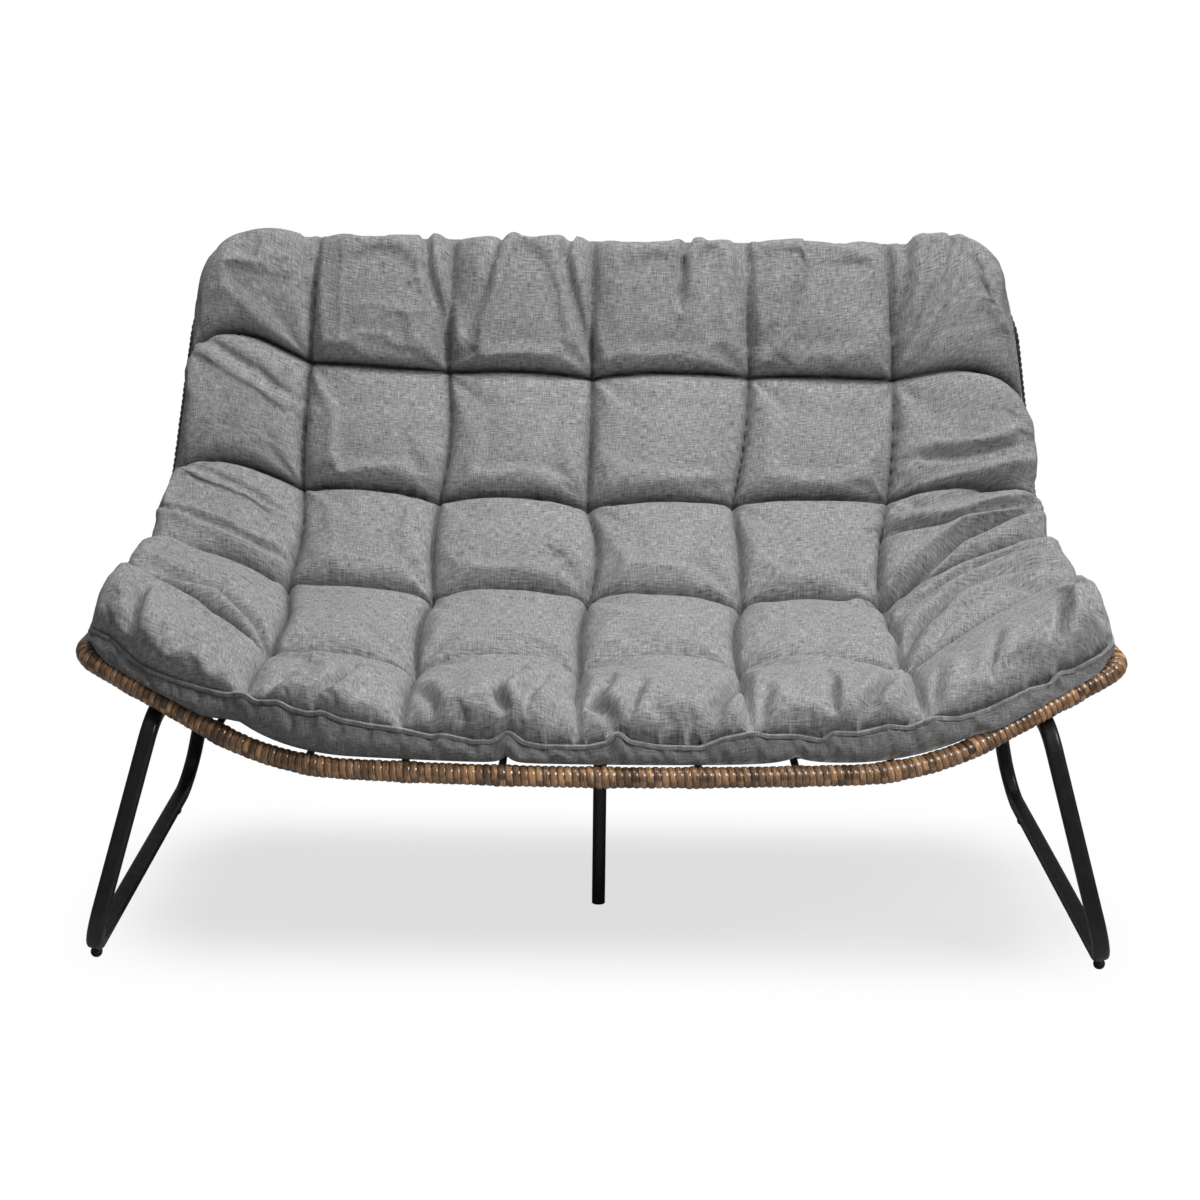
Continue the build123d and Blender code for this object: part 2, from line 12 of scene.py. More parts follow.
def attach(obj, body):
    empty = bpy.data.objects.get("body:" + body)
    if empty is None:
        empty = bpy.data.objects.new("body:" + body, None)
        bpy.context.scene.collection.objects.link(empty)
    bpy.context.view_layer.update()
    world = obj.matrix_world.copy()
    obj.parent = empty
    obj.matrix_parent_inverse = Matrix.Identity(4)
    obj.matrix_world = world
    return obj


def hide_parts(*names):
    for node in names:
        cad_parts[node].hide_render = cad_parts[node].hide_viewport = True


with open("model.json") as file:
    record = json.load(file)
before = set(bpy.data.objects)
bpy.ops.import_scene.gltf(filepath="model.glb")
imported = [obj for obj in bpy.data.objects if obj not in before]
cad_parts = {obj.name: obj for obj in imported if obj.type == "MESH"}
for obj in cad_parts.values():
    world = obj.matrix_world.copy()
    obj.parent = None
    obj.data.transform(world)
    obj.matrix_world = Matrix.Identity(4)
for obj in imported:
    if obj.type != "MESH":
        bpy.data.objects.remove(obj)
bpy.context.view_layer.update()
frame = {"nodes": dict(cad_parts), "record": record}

bl_info = {
    "name": "Double Papasan Chair",
    "version": (1, 0, 0),
    "blender": (4, 5, 0),
    "location": "3D View > Sidebar > Chair",
    "description": "Dresses a two-seat papasan frame with its cushion, rattan and finishes",
    "category": "Object",
}

# The scoop, in metres: the same sizes that its frame is built from
OVERALL_WIDTH = 1.42
OVERALL_DEPTH = 0.87
RIM_TOP_HEIGHT = 0.876
RIM_RADIUS = 0.0142
CORNER_SETBACK = 0.172
CORNER_HEIGHT = 0.402
CORNER_RADIUS = 0.045
SHOULDER_HALF_WIDTH = 0.42
SHOULDER_SETBACK = 0.043
SHOULDER_DROP = 0.003
SHOULDER_RADIUS = 0.43
FRONT_LOW_HEIGHT = 0.296
FRONT_BOW_RADIUS = 2.0
SIDE_TOE_IN = 0.0706
SIDE_LEAN = 0.0458
TOP_CORNER_RADIUS = 0.13
KNEE_SETBACKS = 0.2016, 0.2166
KNEE_HEIGHTS = 0.335, 0.43
KNEE_RADII = 0.7, 0.26
ROD_PITCH = 0.124
ROD_RADIUS = 0.005
WEAVE_SETBACK = 0.072
WIDEST_SHARE = 0.994

FRONT_Y = -OVERALL_DEPTH / 2 + RIM_RADIUS
BACK_Y = OVERALL_DEPTH / 2 - RIM_RADIUS
TOP_Z = RIM_TOP_HEIGHT - RIM_RADIUS
CORNER_X = OVERALL_WIDTH / 2 - RIM_RADIUS
CORNER_Y = FRONT_Y + CORNER_SETBACK

# Tacks of the cushion from the front row to the top row: across in metres and along as a share
# of the cushion's length, with the ends of the creases that run out to its sides
TACK_ACROSS = (
    (-0.454, -0.251, -0.03, 0.187, 0.412),
    (-0.472, -0.251, -0.021, 0.205, 0.412),
    (-0.481, -0.26, -0.025, 0.205, 0.454),
    (-0.491, -0.26, -0.021, 0.242, 0.481),
)
TACK_ALONG_SHARES = (
    (0.195, 0.15, 0.174, 0.199, 0.2, 0.15, 0.2),
    (0.345, 0.385, 0.394, 0.4, 0.388, 0.374, 0.42),
    (0.625, 0.602, 0.596, 0.587, 0.596, 0.594, 0.57),
    (0.86, 0.813, 0.812, 0.804, 0.809, 0.798, 0.79),
)
TACKS = [
    tack for across, alongs in zip(TACK_ACROSS, TACK_ALONG_SHARES) for tack in zip(across, alongs[1:-1])
]

# Where the creases through the rows of tacks end at both sides, across in metres
CREASE_END = 0.68

# Height of the front seam over the scoop, across in metres: it dips and is pinched between tacks
FRONT_SEAM = (
    (-0.692, 0.040), (-0.64, 0.046), (-0.613, 0.034), (-0.59, 0.033), (-0.545, 0.042),
    (-0.509, 0.052), (-0.479, 0.061), (-0.455, 0.074), (-0.438, 0.068), (-0.408, 0.079),
    (-0.39, 0.073), (-0.365, 0.072), (-0.351, 0.077), (-0.33, 0.069), (-0.29, 0.062),
    (-0.25, 0.058), (-0.212, 0.05), (-0.197, 0.053), (-0.16, 0.045), (-0.135, 0.046),
    (-0.115, 0.061), (-0.098, 0.046), (-0.074, 0.041), (-0.02, 0.041), (0.008, 0.047),
    (0.02, 0.063), (0.034, 0.049), (0.072, 0.042), (0.125, 0.041), (0.152, 0.053),
    (0.192, 0.061), (0.205, 0.056), (0.243, 0.056), (0.276, 0.049), (0.29, 0.06),
    (0.32, 0.058), (0.361, 0.065), (0.386, 0.058), (0.422, 0.063), (0.453, 0.051),
    (0.5, 0.044), (0.554, 0.040), (0.583, 0.031), (0.596, 0.042), (0.61, 0.033),
    (0.65, 0.032), (0.692, 0.036),
)

# Pinches in the front of the underside: across, height and width in metres
LOW_PINCHES = (-0.46, 0.014, 0.05), (-0.117, 0.01, 0.008), (0.245, 0.01, 0.02)

# Folds of the cover: depth and width in metres, then points across and along
FOLDS = (
    (0.017, 0.010, ((-0.44, 0.17), (-0.486, 0.202), (-0.541, 0.222), (-0.64, 0.2))),
    (0.010, 0.009, ((-0.44, 0.115), (-0.491, 0.138), (-0.546, 0.16), (-0.62, 0.165))),
    (0.008, 0.010, ((-0.5, 0.3), (-0.55, 0.29), (-0.61, 0.25))),
    (0.022, 0.012, ((0.40, 0.38), (0.449, 0.408), (0.491, 0.435), (0.551, 0.46), (0.66, 0.45))),
    (0.020, 0.011, ((0.44, 0.56), (0.48, 0.548), (0.551, 0.51), (0.66, 0.47))),
    (0.012, 0.009, ((0.42, 0.31), (0.486, 0.353), (0.537, 0.358), (0.606, 0.331), (0.66, 0.28))),
    (0.016, 0.010, ((0.41, 0.19), (0.454, 0.249), (0.509, 0.285), (0.564, 0.28), (0.65, 0.22))),
    (0.009, 0.008, ((0.43, 0.15), (0.47, 0.2), (0.52, 0.235), (0.58, 0.23), (0.64, 0.17))),
    (0.014, 0.011, ((0.472, 0.605), (0.546, 0.58), (0.66, 0.54))),
    (0.010, 0.009, ((0.5, 0.69), (0.56, 0.65), (0.65, 0.62))),
    (0.009, 0.009, ((-0.5, 0.79), (-0.56, 0.795), (-0.66, 0.77))),
    (0.008, 0.009, ((-0.49, 0.56), (-0.55, 0.57), (-0.66, 0.55))),
    (0.009, 0.009, ((-0.48, 0.45), (-0.55, 0.43), (-0.66, 0.4))),
    (0.013, 0.008, ((-0.315, 1.13), (-0.3, 1.06), (-0.275, 1.0), (-0.262, 0.93))),
    (0.009, 0.010, ((-0.17, 1.13), (-0.2, 1.06), (-0.235, 0.98))),
    (0.013, 0.008, ((-0.06, 1.13), (-0.067, 1.09), (-0.045, 1.02), (-0.024, 0.94))),
    (0.013, 0.008, ((0.148, 1.13), (0.128, 1.09), (0.12, 1.03))),
    (0.011, 0.008, ((0.225, 1.13), (0.226, 1.06), (0.238, 0.96))),
    (0.009, 0.012, ((0.32, 1.05), (0.29, 0.99), (0.26, 0.95))),
    (0.012, 0.009, ((0.53, 1.13), (0.505, 1.0), (0.485, 0.92))),
    (0.009, 0.009, ((-0.52, 1.1), (-0.505, 0.98), (-0.493, 0.92))),
    (0.008, 0.008, ((0.58, 0.98), (0.54, 0.94), (0.5, 0.88))),
    (0.016, 0.009, ((-0.618, 0.09), (-0.61, 0.0))),
    (0.008, 0.008, ((-0.5, 0.08), (-0.545, 0.02))),
    (0.007, 0.007, ((-0.465, 0.07), (-0.5, 0.01))),
    (0.009, 0.007, ((-0.405, 0.05), (-0.425, 0.0))),
    (0.015, 0.009, ((-0.32, 0.1), (-0.335, 0.05), (-0.36, 0.0))),
    (0.009, 0.008, ((-0.236, 0.07), (-0.205, 0.0))),
    (0.017, 0.008, ((-0.105, 0.12), (-0.131, 0.04), (-0.118, 0.0))),
    (0.009, 0.008, ((-0.07, 0.1), (-0.098, 0.0))),
    (0.008, 0.008, ((-0.03, 0.12), (-0.06, 0.0))),
    (0.016, 0.008, ((0.01, 0.1), (-0.01, 0.04), (0.018, 0.0))),
    (0.009, 0.007, ((0.05, 0.08), (0.034, 0.0))),
    (0.019, 0.010, ((0.178, 0.13), (0.16, 0.06), (0.138, 0.0))),
    (0.009, 0.008, ((0.21, 0.07), (0.2, 0.0))),
    (0.011, 0.008, ((0.295, 0.08), (0.29, 0.0))),
    (0.018, 0.010, ((0.392, 0.12), (0.36, 0.05), (0.328, 0.0))),
    (0.009, 0.008, ((0.44, 0.08), (0.42, 0.0))),
    (0.008, 0.009, ((0.52, 0.09), (0.5, 0.02))),
    (0.016, 0.009, ((0.615, 0.08), (0.597, 0.0))),
)


def unit(vectors):
    """Direction of one vector or of each of several."""
    return vectors / np.linalg.norm(vectors, axis=-1, keepdims=True)


def half_width(y, z):
    """Half width of the scoop at a depth and height."""
    return CORNER_X - SIDE_TOE_IN * (y - CORNER_Y) - SIDE_LEAN * (z - CORNER_HEIGHT)


def rounded_path(points, radii, step):
    """Evenly spaced points on straight runs joined by arcs."""
    points = [np.array(p, float) for p in points]
    dense = [points[0]]
    for before, corner, after, radius in zip(points, points[1:], points[2:], radii):
        first, last = unit(corner - before), unit(after - corner)
        turn = acos(np.clip(first @ last, -1, 1))
        tangent = radius * tan(turn / 2)
        normal = unit(last - first * (first @ last))
        start = corner - first * tangent
        centre = start + normal * radius
        for share in np.linspace(0, 1, 41):
            angle = turn * share
            dense.append(centre + radius * (first * sin(angle) - normal * cos(angle)))
    dense.append(points[-1])
    dense = np.array(dense)
    run = np.concatenate([[0], np.cumsum(np.linalg.norm(np.diff(dense, axis=0), axis=1))])
    wanted = np.linspace(0, run[-1], max(2, round(run[-1] / step)) + 1)
    return np.stack([np.interp(wanted, run, dense[:, axis]) for axis in range(3)], axis=1)


def mirrored(point):
    return -point[0], point[1], point[2]


def rim_points():
    """Corners of the front rim and of the back hoop, from left to right."""
    shoulder = (SHOULDER_HALF_WIDTH, FRONT_Y + SHOULDER_SETBACK, FRONT_LOW_HEIGHT - SHOULDER_DROP)
    corner = (CORNER_X, CORNER_Y, CORNER_HEIGHT)
    knee_y, knee_z = BACK_Y - KNEE_SETBACKS[1], KNEE_HEIGHTS[1]
    knee = (half_width(knee_y, knee_z), knee_y, knee_z)
    top = (half_width(BACK_Y, TOP_Z), BACK_Y, TOP_Z)
    bow = atan2(SHOULDER_SETBACK, SHOULDER_HALF_WIDTH)
    middle = (0, FRONT_Y - FRONT_BOW_RADIUS * (1 / cos(bow) - 1), FRONT_LOW_HEIGHT)
    to_knee, to_top = unit(np.array(knee) - corner), unit(np.array(top) - knee)
    joint = tuple(knee - to_knee * KNEE_RADII[1] * tan(acos(to_knee @ to_top) / 2))
    front = [mirrored(joint), mirrored(corner), mirrored(shoulder), middle, shoulder, corner, joint]
    front_radii = CORNER_RADIUS, SHOULDER_RADIUS, FRONT_BOW_RADIUS, SHOULDER_RADIUS, CORNER_RADIUS
    back = [mirrored(joint), mirrored(knee), mirrored(top), top, knee, joint]
    back_radii = KNEE_RADII[1], TOP_CORNER_RADIUS, TOP_CORNER_RADIUS, KNEE_RADII[1]
    return (front, front_radii), (back, back_radii)


FRONT_RIM, BACK_HOOP = rim_points()


def right_half(path):
    """Points of a rim from its middle to its widest, and their shares of the half width there."""
    line = rounded_path(*path, step=0.002)
    line = line[line[:, 0] >= 0]
    shares = line[:, 0] / half_width(line[:, 1], line[:, 2])
    count = np.argmax(shares) + 1
    return line[:count], shares[:count]


FRONT_LINE, FRONT_SHARES = right_half(FRONT_RIM)


class Profile:
    """Front to back line of the scoop at a share of its half width: line, arc, line."""

    def __init__(self, share):
        self.share = share
        blend = share**2
        self.front = np.array(
            [np.interp(abs(share), FRONT_SHARES, FRONT_LINE[:, axis]) for axis in (1, 2)]
        )
        setback, height, self.radius = (
            low + (high - low) * blend for low, high in (KNEE_SETBACKS, KNEE_HEIGHTS, KNEE_RADII)
        )
        knee = np.array([BACK_Y - setback, height])
        corner_top = np.array([BACK_Y, TOP_Z])
        self.back = unit(corner_top - knee)
        inset = (1 - abs(share)) * half_width(BACK_Y, TOP_Z)
        short = max(0.0, TOP_CORNER_RADIUS - inset)
        drop = TOP_CORNER_RADIUS - sqrt(TOP_CORNER_RADIUS**2 - short**2)
        top = corner_top - self.back * drop
        self.seat = unit(knee - self.front)
        self.turn = acos(self.seat @ self.back)
        tangent = self.radius * tan(self.turn / 2)
        self.seat_length = np.linalg.norm(knee - self.front) - tangent
        self.arc_length = self.radius * self.turn
        self.back_length = np.linalg.norm(top - knee) - tangent
        self.length = self.seat_length + self.arc_length + self.back_length
        self.normal = np.array([-self.seat[1], self.seat[0]])
        self.centre = self.front + self.seat * self.seat_length + self.normal * self.radius

    def at(self, distance, lift):
        """Points at distances along the line, lifted towards the sitter."""
        distance = np.asarray(distance, float)
        lift = np.broadcast_to(lift, distance.shape)
        on_seat = np.minimum(distance, self.seat_length)
        on_back = np.maximum(distance - self.seat_length - self.arc_length, 0)
        angle = np.clip(distance - self.seat_length, 0, self.arc_length) / self.radius
        turned = (
            np.cos(angle)[..., None] * self.normal + np.sin(angle)[..., None] * -self.seat
        )
        flat = self.centre - turned * (self.radius - lift)[..., None]
        flat = flat + (on_seat - self.seat_length)[..., None] * self.seat
        flat = flat + on_back[..., None] * self.back
        x = self.share * half_width(flat[..., 0], flat[..., 1])
        return np.stack([x, flat[..., 0], flat[..., 1]], axis=-1)


def smooth_noise(count, smallest, generator):
    """A smooth random line of values from about -1 to 1, by runs of the smallest length."""
    knots = generator.uniform(-1, 1, int(count / smallest) + 3)
    return np.interp(np.arange(count) / smallest, np.arange(len(knots)), knots)


def new_object(name, points, faces, values=None):
    """Mesh object of plain points and faces, smooth shaded, with named values on its points."""
    mesh = bpy.data.meshes.new(name)
    mesh.from_pydata([tuple(p) for p in points], [], [tuple(map(int, f)) for f in faces])
    mesh.polygons.foreach_set("use_smooth", [True] * len(mesh.polygons))
    for value_name, data in (values or {}).items():
        data = np.asarray(data, float)
        kind = "FLOAT" if data.ndim == 1 else "FLOAT_VECTOR"
        attribute = mesh.attributes.new(value_name, kind, "POINT")
        attribute.data.foreach_set("value" if data.ndim == 1 else "vector", data.ravel())
    mesh.update()
    piece = bpy.data.objects.new(name, mesh)
    bpy.context.scene.collection.objects.link(piece)
    return piece


def grid_faces(rows, columns, closed=False, start=0, flip=False):
    """Faces between the points of a grid, closed round its columns where asked."""
    across = columns if closed else columns - 1
    row, column = np.meshgrid(np.arange(rows - 1), np.arange(across), indexing="ij")
    after = (column + 1) % columns
    corners = [row * columns + column, (row + 1) * columns + column]
    corners += [(row + 1) * columns + after, row * columns + after]
    faces = np.stack([c.ravel() for c in corners], axis=1) + start
    return faces[:, ::-1] if flip else faces


def tube_faces(rows, columns, start=0):
    """Faces of a tube of closed rows of points, with both of its ends shut."""
    ring = np.arange(columns) + start
    sides = grid_faces(rows, columns, closed=True, start=start)
    return [*sides, ring[::-1], ring + (rows - 1) * columns]


def flat_points(x, y):
    """Points of a flat texture space."""
    return np.stack([x, y, np.zeros_like(x)], axis=-1)


def frames_along(path, up):
    """Side and upper directions at each point of a path, held near a given upper direction."""
    tangent = unit(np.gradient(path, axis=0))
    side = unit(np.cross(tangent, np.broadcast_to(up, tangent.shape)))
    return side, np.cross(side, tangent)


# Finishes


class Finish:
    """Small builder for a node material with one shader."""

    def __init__(self, name):
        self.material = bpy.data.materials.new(name)
        self.material.use_nodes = True
        self.tree = self.material.node_tree
        self.shader = self.tree.nodes["Principled BSDF"]

    def node(self, kind, **settings):
        made = self.tree.nodes.new(kind)
        for key, value in settings.items():
            setattr(made, key, value)
        return made

    def link(self, source, target):
        self.tree.links.new(source, target)

    def math(self, operation, first, second=0.0):
        made = self.node("ShaderNodeMath", operation=operation)
        for socket, value in zip(made.inputs, (first, second)):
            if isinstance(value, (int, float)):
                socket.default_value = value
            else:
                self.link(value, socket)
        return made.outputs[0]

    def total(self, *parts):
        """Sum of values, each times its weight."""
        made = self.math("MULTIPLY", *parts[0])
        for part in parts[1:]:
            made = self.math("ADD", made, self.math("MULTIPLY", *part))
        return made

    def noise(self, vector, scale, detail=2.0, roughness=0.5, stretch=None):
        if stretch:
            mapping = self.node("ShaderNodeMapping")
            mapping.inputs["Scale"].default_value = stretch
            self.link(vector, mapping.inputs["Vector"])
            vector = mapping.outputs[0]
        made = self.node("ShaderNodeTexNoise")
        made.inputs["Scale"].default_value = scale
        made.inputs["Detail"].default_value = detail
        made.inputs["Roughness"].default_value = roughness
        self.link(vector, made.inputs["Vector"])
        return made.outputs["Fac"]

    def attribute(self, name, output="Fac"):
        return self.node("ShaderNodeAttribute", attribute_name=name).outputs[output]

    def position(self):
        return self.node("ShaderNodeTexCoord").outputs["Object"]

    def ramp(self, value, stops):
        """Colours by value: stops are pairs of a place and a colour."""
        made = self.node("ShaderNodeValToRGB")
        while len(made.color_ramp.elements) < len(stops):
            made.color_ramp.elements.new(1.0)
        for element, (place, colour) in zip(made.color_ramp.elements, stops):
            element.position = place
            element.color = (*colour, 1)
        self.link(value, made.inputs[0])
        return made.outputs[0]

    def range(self, value, low, high, new_low, new_high):
        made = self.node("ShaderNodeMapRange", interpolation_type="SMOOTHSTEP")
        for socket, number in zip(made.inputs[1:5], (low, high, new_low, new_high)):
            socket.default_value = number
        self.link(value, made.inputs[0])
        return made.outputs[0]

    def two_tones(self, value, colour, dark, light, spread=0.2):
        """Colours the finish by a value, from a dark to a light shade of one colour."""
        stops = (0.5 - spread, shade(colour, dark)), (0.5 + spread, shade(colour, light))
        self.link(self.ramp(value, stops), self.shader.inputs["Base Color"])

    def roughness(self, value, low, high):
        self.link(self.range(value, 0.3, 0.7, low, high), self.shader.inputs["Roughness"])

    def bump(self, height, distance, strength):
        made = self.node("ShaderNodeBump")
        made.inputs["Strength"].default_value = strength
        made.inputs["Distance"].default_value = distance
        self.link(height, made.inputs["Height"])
        self.link(made.outputs[0], self.shader.inputs["Normal"])

    def set(self, **sockets):
        for name, value in sockets.items():
            self.shader.inputs[name.replace("_", " ")].default_value = value


def shade(colour, factor):
    return tuple(min(1.0, channel * factor) for channel in colour)


def powder_coat(colour):
    """Satin black powder coat with its fine orange peel and faint dust."""
    finish = Finish("black_powder_coat")
    place = finish.position()
    finish.two_tones(finish.noise(place, 9.0, 3.0), colour, 0.8, 1.35)
    finish.roughness(finish.noise(place, 60.0, 3.0), 0.3, 0.42)
    finish.bump(finish.noise(place, 900.0), 0.00008, 0.6)
    return finish.material


def zinc_plate(colour):
    """Bright zinc plate with soft blotches."""
    finish = Finish("zinc_plate")
    place = finish.position()
    blotches = finish.noise(place, 120.0, 4.0)
    finish.two_tones(blotches, colour, 0.75, 1.1, spread=0.25)
    finish.roughness(finish.noise(place, 300.0), 0.25, 0.42)
    finish.set(Metallic=0.9)
    finish.bump(blotches, 0.00004, 0.5)
    return finish.material


def moulded_plastic(colour):
    """Moulded black plastic with a fine spark-eroded grain."""
    finish = Finish("moulded_plastic")
    place = finish.position()
    tone = finish.noise(place, 80.0, 3.0)
    finish.two_tones(tone, colour, 0.85, 1.2)
    finish.roughness(tone, 0.42, 0.55)
    finish.bump(finish.noise(place, 1500.0), 0.00005, 0.5)
    return finish.material


def resin_rattan(name, colour, dark_factor):
    """Glossy resin strands: a tone for each strand, streaks along it and painted shade in the grooves.
    """
    finish = Finish(name)
    along = finish.attribute("strand_place", "Vector")
    streaks = finish.noise(along, 1.0, 3.0, 0.6, stretch=(1100.0, 45.0, 1.0))
    blotch = finish.noise(finish.position(), 45.0, 3.0)
    tone = finish.total((finish.attribute("strand"), 0.4), (streaks, 0.75), (blotch, 0.35))
    dark, light = shade(colour, dark_factor), shade(colour, 2.4)
    ramp = finish.ramp(tone, ((0.56, shade(dark, 0.7)), (0.68, dark), (0.8, colour), (0.96, light)))
    # Painted shade: the colour is multiplied down to 0.12 where the crest value is low, in the grooves
    # between turns and rows
    gap = finish.node("ShaderNodeMix", data_type="RGBA", blend_type="MULTIPLY")
    gap.inputs["Factor"].default_value = 1.0
    finish.link(ramp, gap.inputs["A"])
    seen = finish.range(finish.attribute("crest"), 0.35, 0.8, 0.12, 1.0)
    shadow = finish.node("ShaderNodeCombineColor")
    for socket in shadow.inputs[:3]:
        finish.link(seen, socket)
    finish.link(shadow.outputs[0], gap.inputs["B"])
    finish.link(gap.outputs["Result"], finish.shader.inputs["Base Color"])
    finish.roughness(streaks, 0.26, 0.4)
    finish.set(Coat_Weight=0.8, Coat_Roughness=0.16)
    finish.bump(streaks, 0.00025, 0.6)
    return finish.material


def heathered_linen(colour):
    """Heathered linen weave: crossed threads, dark and pale fibres, a nap and painted shade in the
    creases.
    """
    thread, slub, fibre = 560.0, 75.0, 1300.0
    finish = Finish("heathered_linen")
    cloth = finish.attribute("cloth", "Vector")
    weft = finish.noise(cloth, 1.0, stretch=(slub, thread, 1.0))
    warp = finish.noise(cloth, 1.0, stretch=(thread, slub, 1.0))
    fine = finish.noise(cloth, 1.0, 2.0, 0.6, stretch=(fibre, fibre, 1.0))
    drift = finish.noise(cloth, 14.0)
    tone = finish.total((weft, 0.38), (warp, 0.32), (fine, 0.2), (drift, 0.05))
    factors = (0.35, 0.3), (0.43, 0.78), (0.51, 1.08), (0.6, 1.7)
    ramp = finish.ramp(tone, [(place, shade(colour, factor)) for place, factor in factors])
    # Painted shade: the colour is mixed towards a dark linen by the crease value, in creases, deep
    # folds and on the strip below the seam
    painted_shade = finish.node("ShaderNodeMix", data_type="RGBA", blend_type="MIX")
    finish.link(finish.math("MULTIPLY", finish.attribute("crease"), 0.85), painted_shade.inputs["Factor"])
    finish.link(ramp, painted_shade.inputs["A"])
    painted_shade.inputs["B"].default_value = (*shade(colour, 0.12), 1)
    finish.link(painted_shade.outputs["Result"], finish.shader.inputs["Base Color"])
    finish.set(Roughness=0.93, Sheen_Weight=0.12, Sheen_Roughness=0.5)
    finish.bump(finish.math("ADD", weft, warp), 0.0005, 0.6)
    return finish.material


def sewing_thread(colour):
    """Twisted sewing thread."""
    finish = Finish("sewing_thread")
    twist = finish.noise(finish.position(), 1200.0)
    finish.two_tones(twist, colour, 0.7, 1.2)
    finish.set(Roughness=0.7)
    finish.bump(twist, 0.0002, 0.8)
    return finish.material


def pale_floor():
    """Pale floor that keeps the chair's shadow and runs out to white away from it."""
    middle_y, far_x, far_y = 0.06, (0.5, 0.82), (0.08, 0.44)
    white_under_chair = 0.72
    finish = Finish("pale_floor")
    finish.set(Base_Color=(0.45, 0.45, 0.45, 1), Roughness=0.95)
    place = finish.node("ShaderNodeSeparateXYZ")
    finish.link(finish.position(), place.inputs[0])
    aside = finish.math("ABSOLUTE", place.outputs["X"])
    ahead = finish.math("ABSOLUTE", finish.math("ADD", place.outputs["Y"], middle_y))
    near = finish.math(
        "MULTIPLY", finish.range(aside, *far_x, 1, 0), finish.range(ahead, *far_y, 1, 0)
    )
    away = finish.range(near, 0, 1, 1, white_under_chair)
    seen = finish.node("ShaderNodeLightPath")
    white = finish.node("ShaderNodeEmission")
    share = finish.math("MULTIPLY", away, seen.outputs["Is Camera Ray"])
    mix = finish.node("ShaderNodeMixShader")
    finish.link(share, mix.inputs[0])
    finish.link(finish.shader.outputs[0], mix.inputs[1])
    finish.link(white.outputs[0], mix.inputs[2])
    finish.link(mix.outputs[0], finish.tree.nodes["Material Output"].inputs["Surface"])
    return finish.material


# Settings


def colour_setting(name, description, value):
    return FloatVectorProperty(
        name=name, description=description, subtype="COLOR", default=value, min=0, max=1
    )


def length_setting(name, description, metres):
    return FloatProperty(name=name, description=description, default=metres, unit="LENGTH")


def share_setting(name, description, value):
    return FloatProperty(name=name, description=description, default=value, subtype="FACTOR")


def angle_setting(name, description, value):
    return FloatProperty(name=name, description=description, default=value, subtype="ANGLE")


class ChairFinishes(bpy.types.PropertyGroup):
    steel: colour_setting("Steel", "Powder coat of the legs and rods", (0.012, 0.012, 0.013))
    zinc: colour_setting("Zinc", "Plating of the fasteners", (0.6, 0.6, 0.58))
    plastic: colour_setting("Plastic", "Moulded feet and inserts", (0.014, 0.014, 0.014))
    linen: colour_setting("Linen", "Cushion cover", (0.33, 0.33, 0.33))
    brown_rattan: colour_setting("Brown rattan", "Strands of the front rim", (0.43, 0.235, 0.115))
    dark_rattan: colour_setting(
        "Dark rattan", "Strands of the back hoop and panels", (0.045, 0.038, 0.034)
    )


class ChairRattan(bpy.types.PropertyGroup):
    wrap_pitch: length_setting("Wrap pitch", "Distance between turns on the rims", 0.0094)
    wrap_height: length_setting("Wrap height", "Thickness of a strand's crown on the rims", 0.0026)
    wrap_sides: IntProperty(
        name="Sides", description="Points round a rim", default=28, min=8,
    )
    row_pitch: length_setting("Row pitch", "Distance between rows of the panels", 0.0078)
    row_thickness: length_setting("Row thickness", "Thickness of a panel's strand", 0.0026)
    row_points: IntProperty(
        name="Row points", description="Points of a row between two rods", default=8, min=4,
    )


class ChairCushion(bpy.types.PropertyGroup):
    side_share: share_setting("Side", "Edge of the cushion as a share of the scoop's half width", 0.992)
    overhang: length_setting("Overhang", "Reach of the cushion past the top of the back hoop", 0.024)
    corner_pull: share_setting("Corner pull", "How far the corners draw in, as a share", 0.014)
    seam_lift: length_setting("Seam", "Height of the edge seam over the scoop", 0.044)
    wall_bulge: length_setting("Wall", "Bulge of the strip below the seam", 0.007)
    tack_lift: length_setting("Tacks", "Height of the tacks over the scoop", 0.040)
    crown_lift: length_setting("Crown", "Height of the pillows over the scoop", 0.121)
    crease_share: share_setting(
        "Crease", "Height of a crease between two tacks as a share of the crown", 0.26
    )
    pillow_shoulder: length_setting("Shoulder", "Width of a pillow's rounded edge", 0.104)
    pillow_fullness: FloatProperty(
        name="Fullness", description="Squareness of a pillow's section: 1 is a ridge, 2 a circle",
        default=1.95,
    )
    sag: length_setting("Sag", "How far the pillows slip over the crease below them", 0.019)
    notch: length_setting("Notch", "Depth of a crease's sharp bottom", 0.009)
    gather: length_setting("Gathers", "Height of the small gathers round the tacks and seam", 0.0022)
    edge_radius: length_setting("Edge", "Rounding of the cushion's edge", 0.07)
    edge_roll: length_setting("Edge roll", "How far the pillows bulge past the seam", 0.013)
    cell: length_setting("Mesh size", "Spacing of the cover's points as it swells", 0.0072)
    swell_frames: IntProperty(
        name="Swell", description="Steps of the cloth simulation", default=20, min=1,
    )
    swell_pressure: FloatProperty(
        name="Pressure", description="Pressure of the filling", default=4.0,
    )
    swell_growth: share_setting("Growth", "Spare cloth as a share of its size", 0.045)
    swell_limit: length_setting("Limit", "Farthest that the cloth may move", 0.016)
    crease_pin: share_setting("Crease pin", "How firmly a crease is held as the cover swells", 0.3)
    crease_hold: share_setting("Crease hold", "Share of its movement that a sewn crease keeps", 0.25)


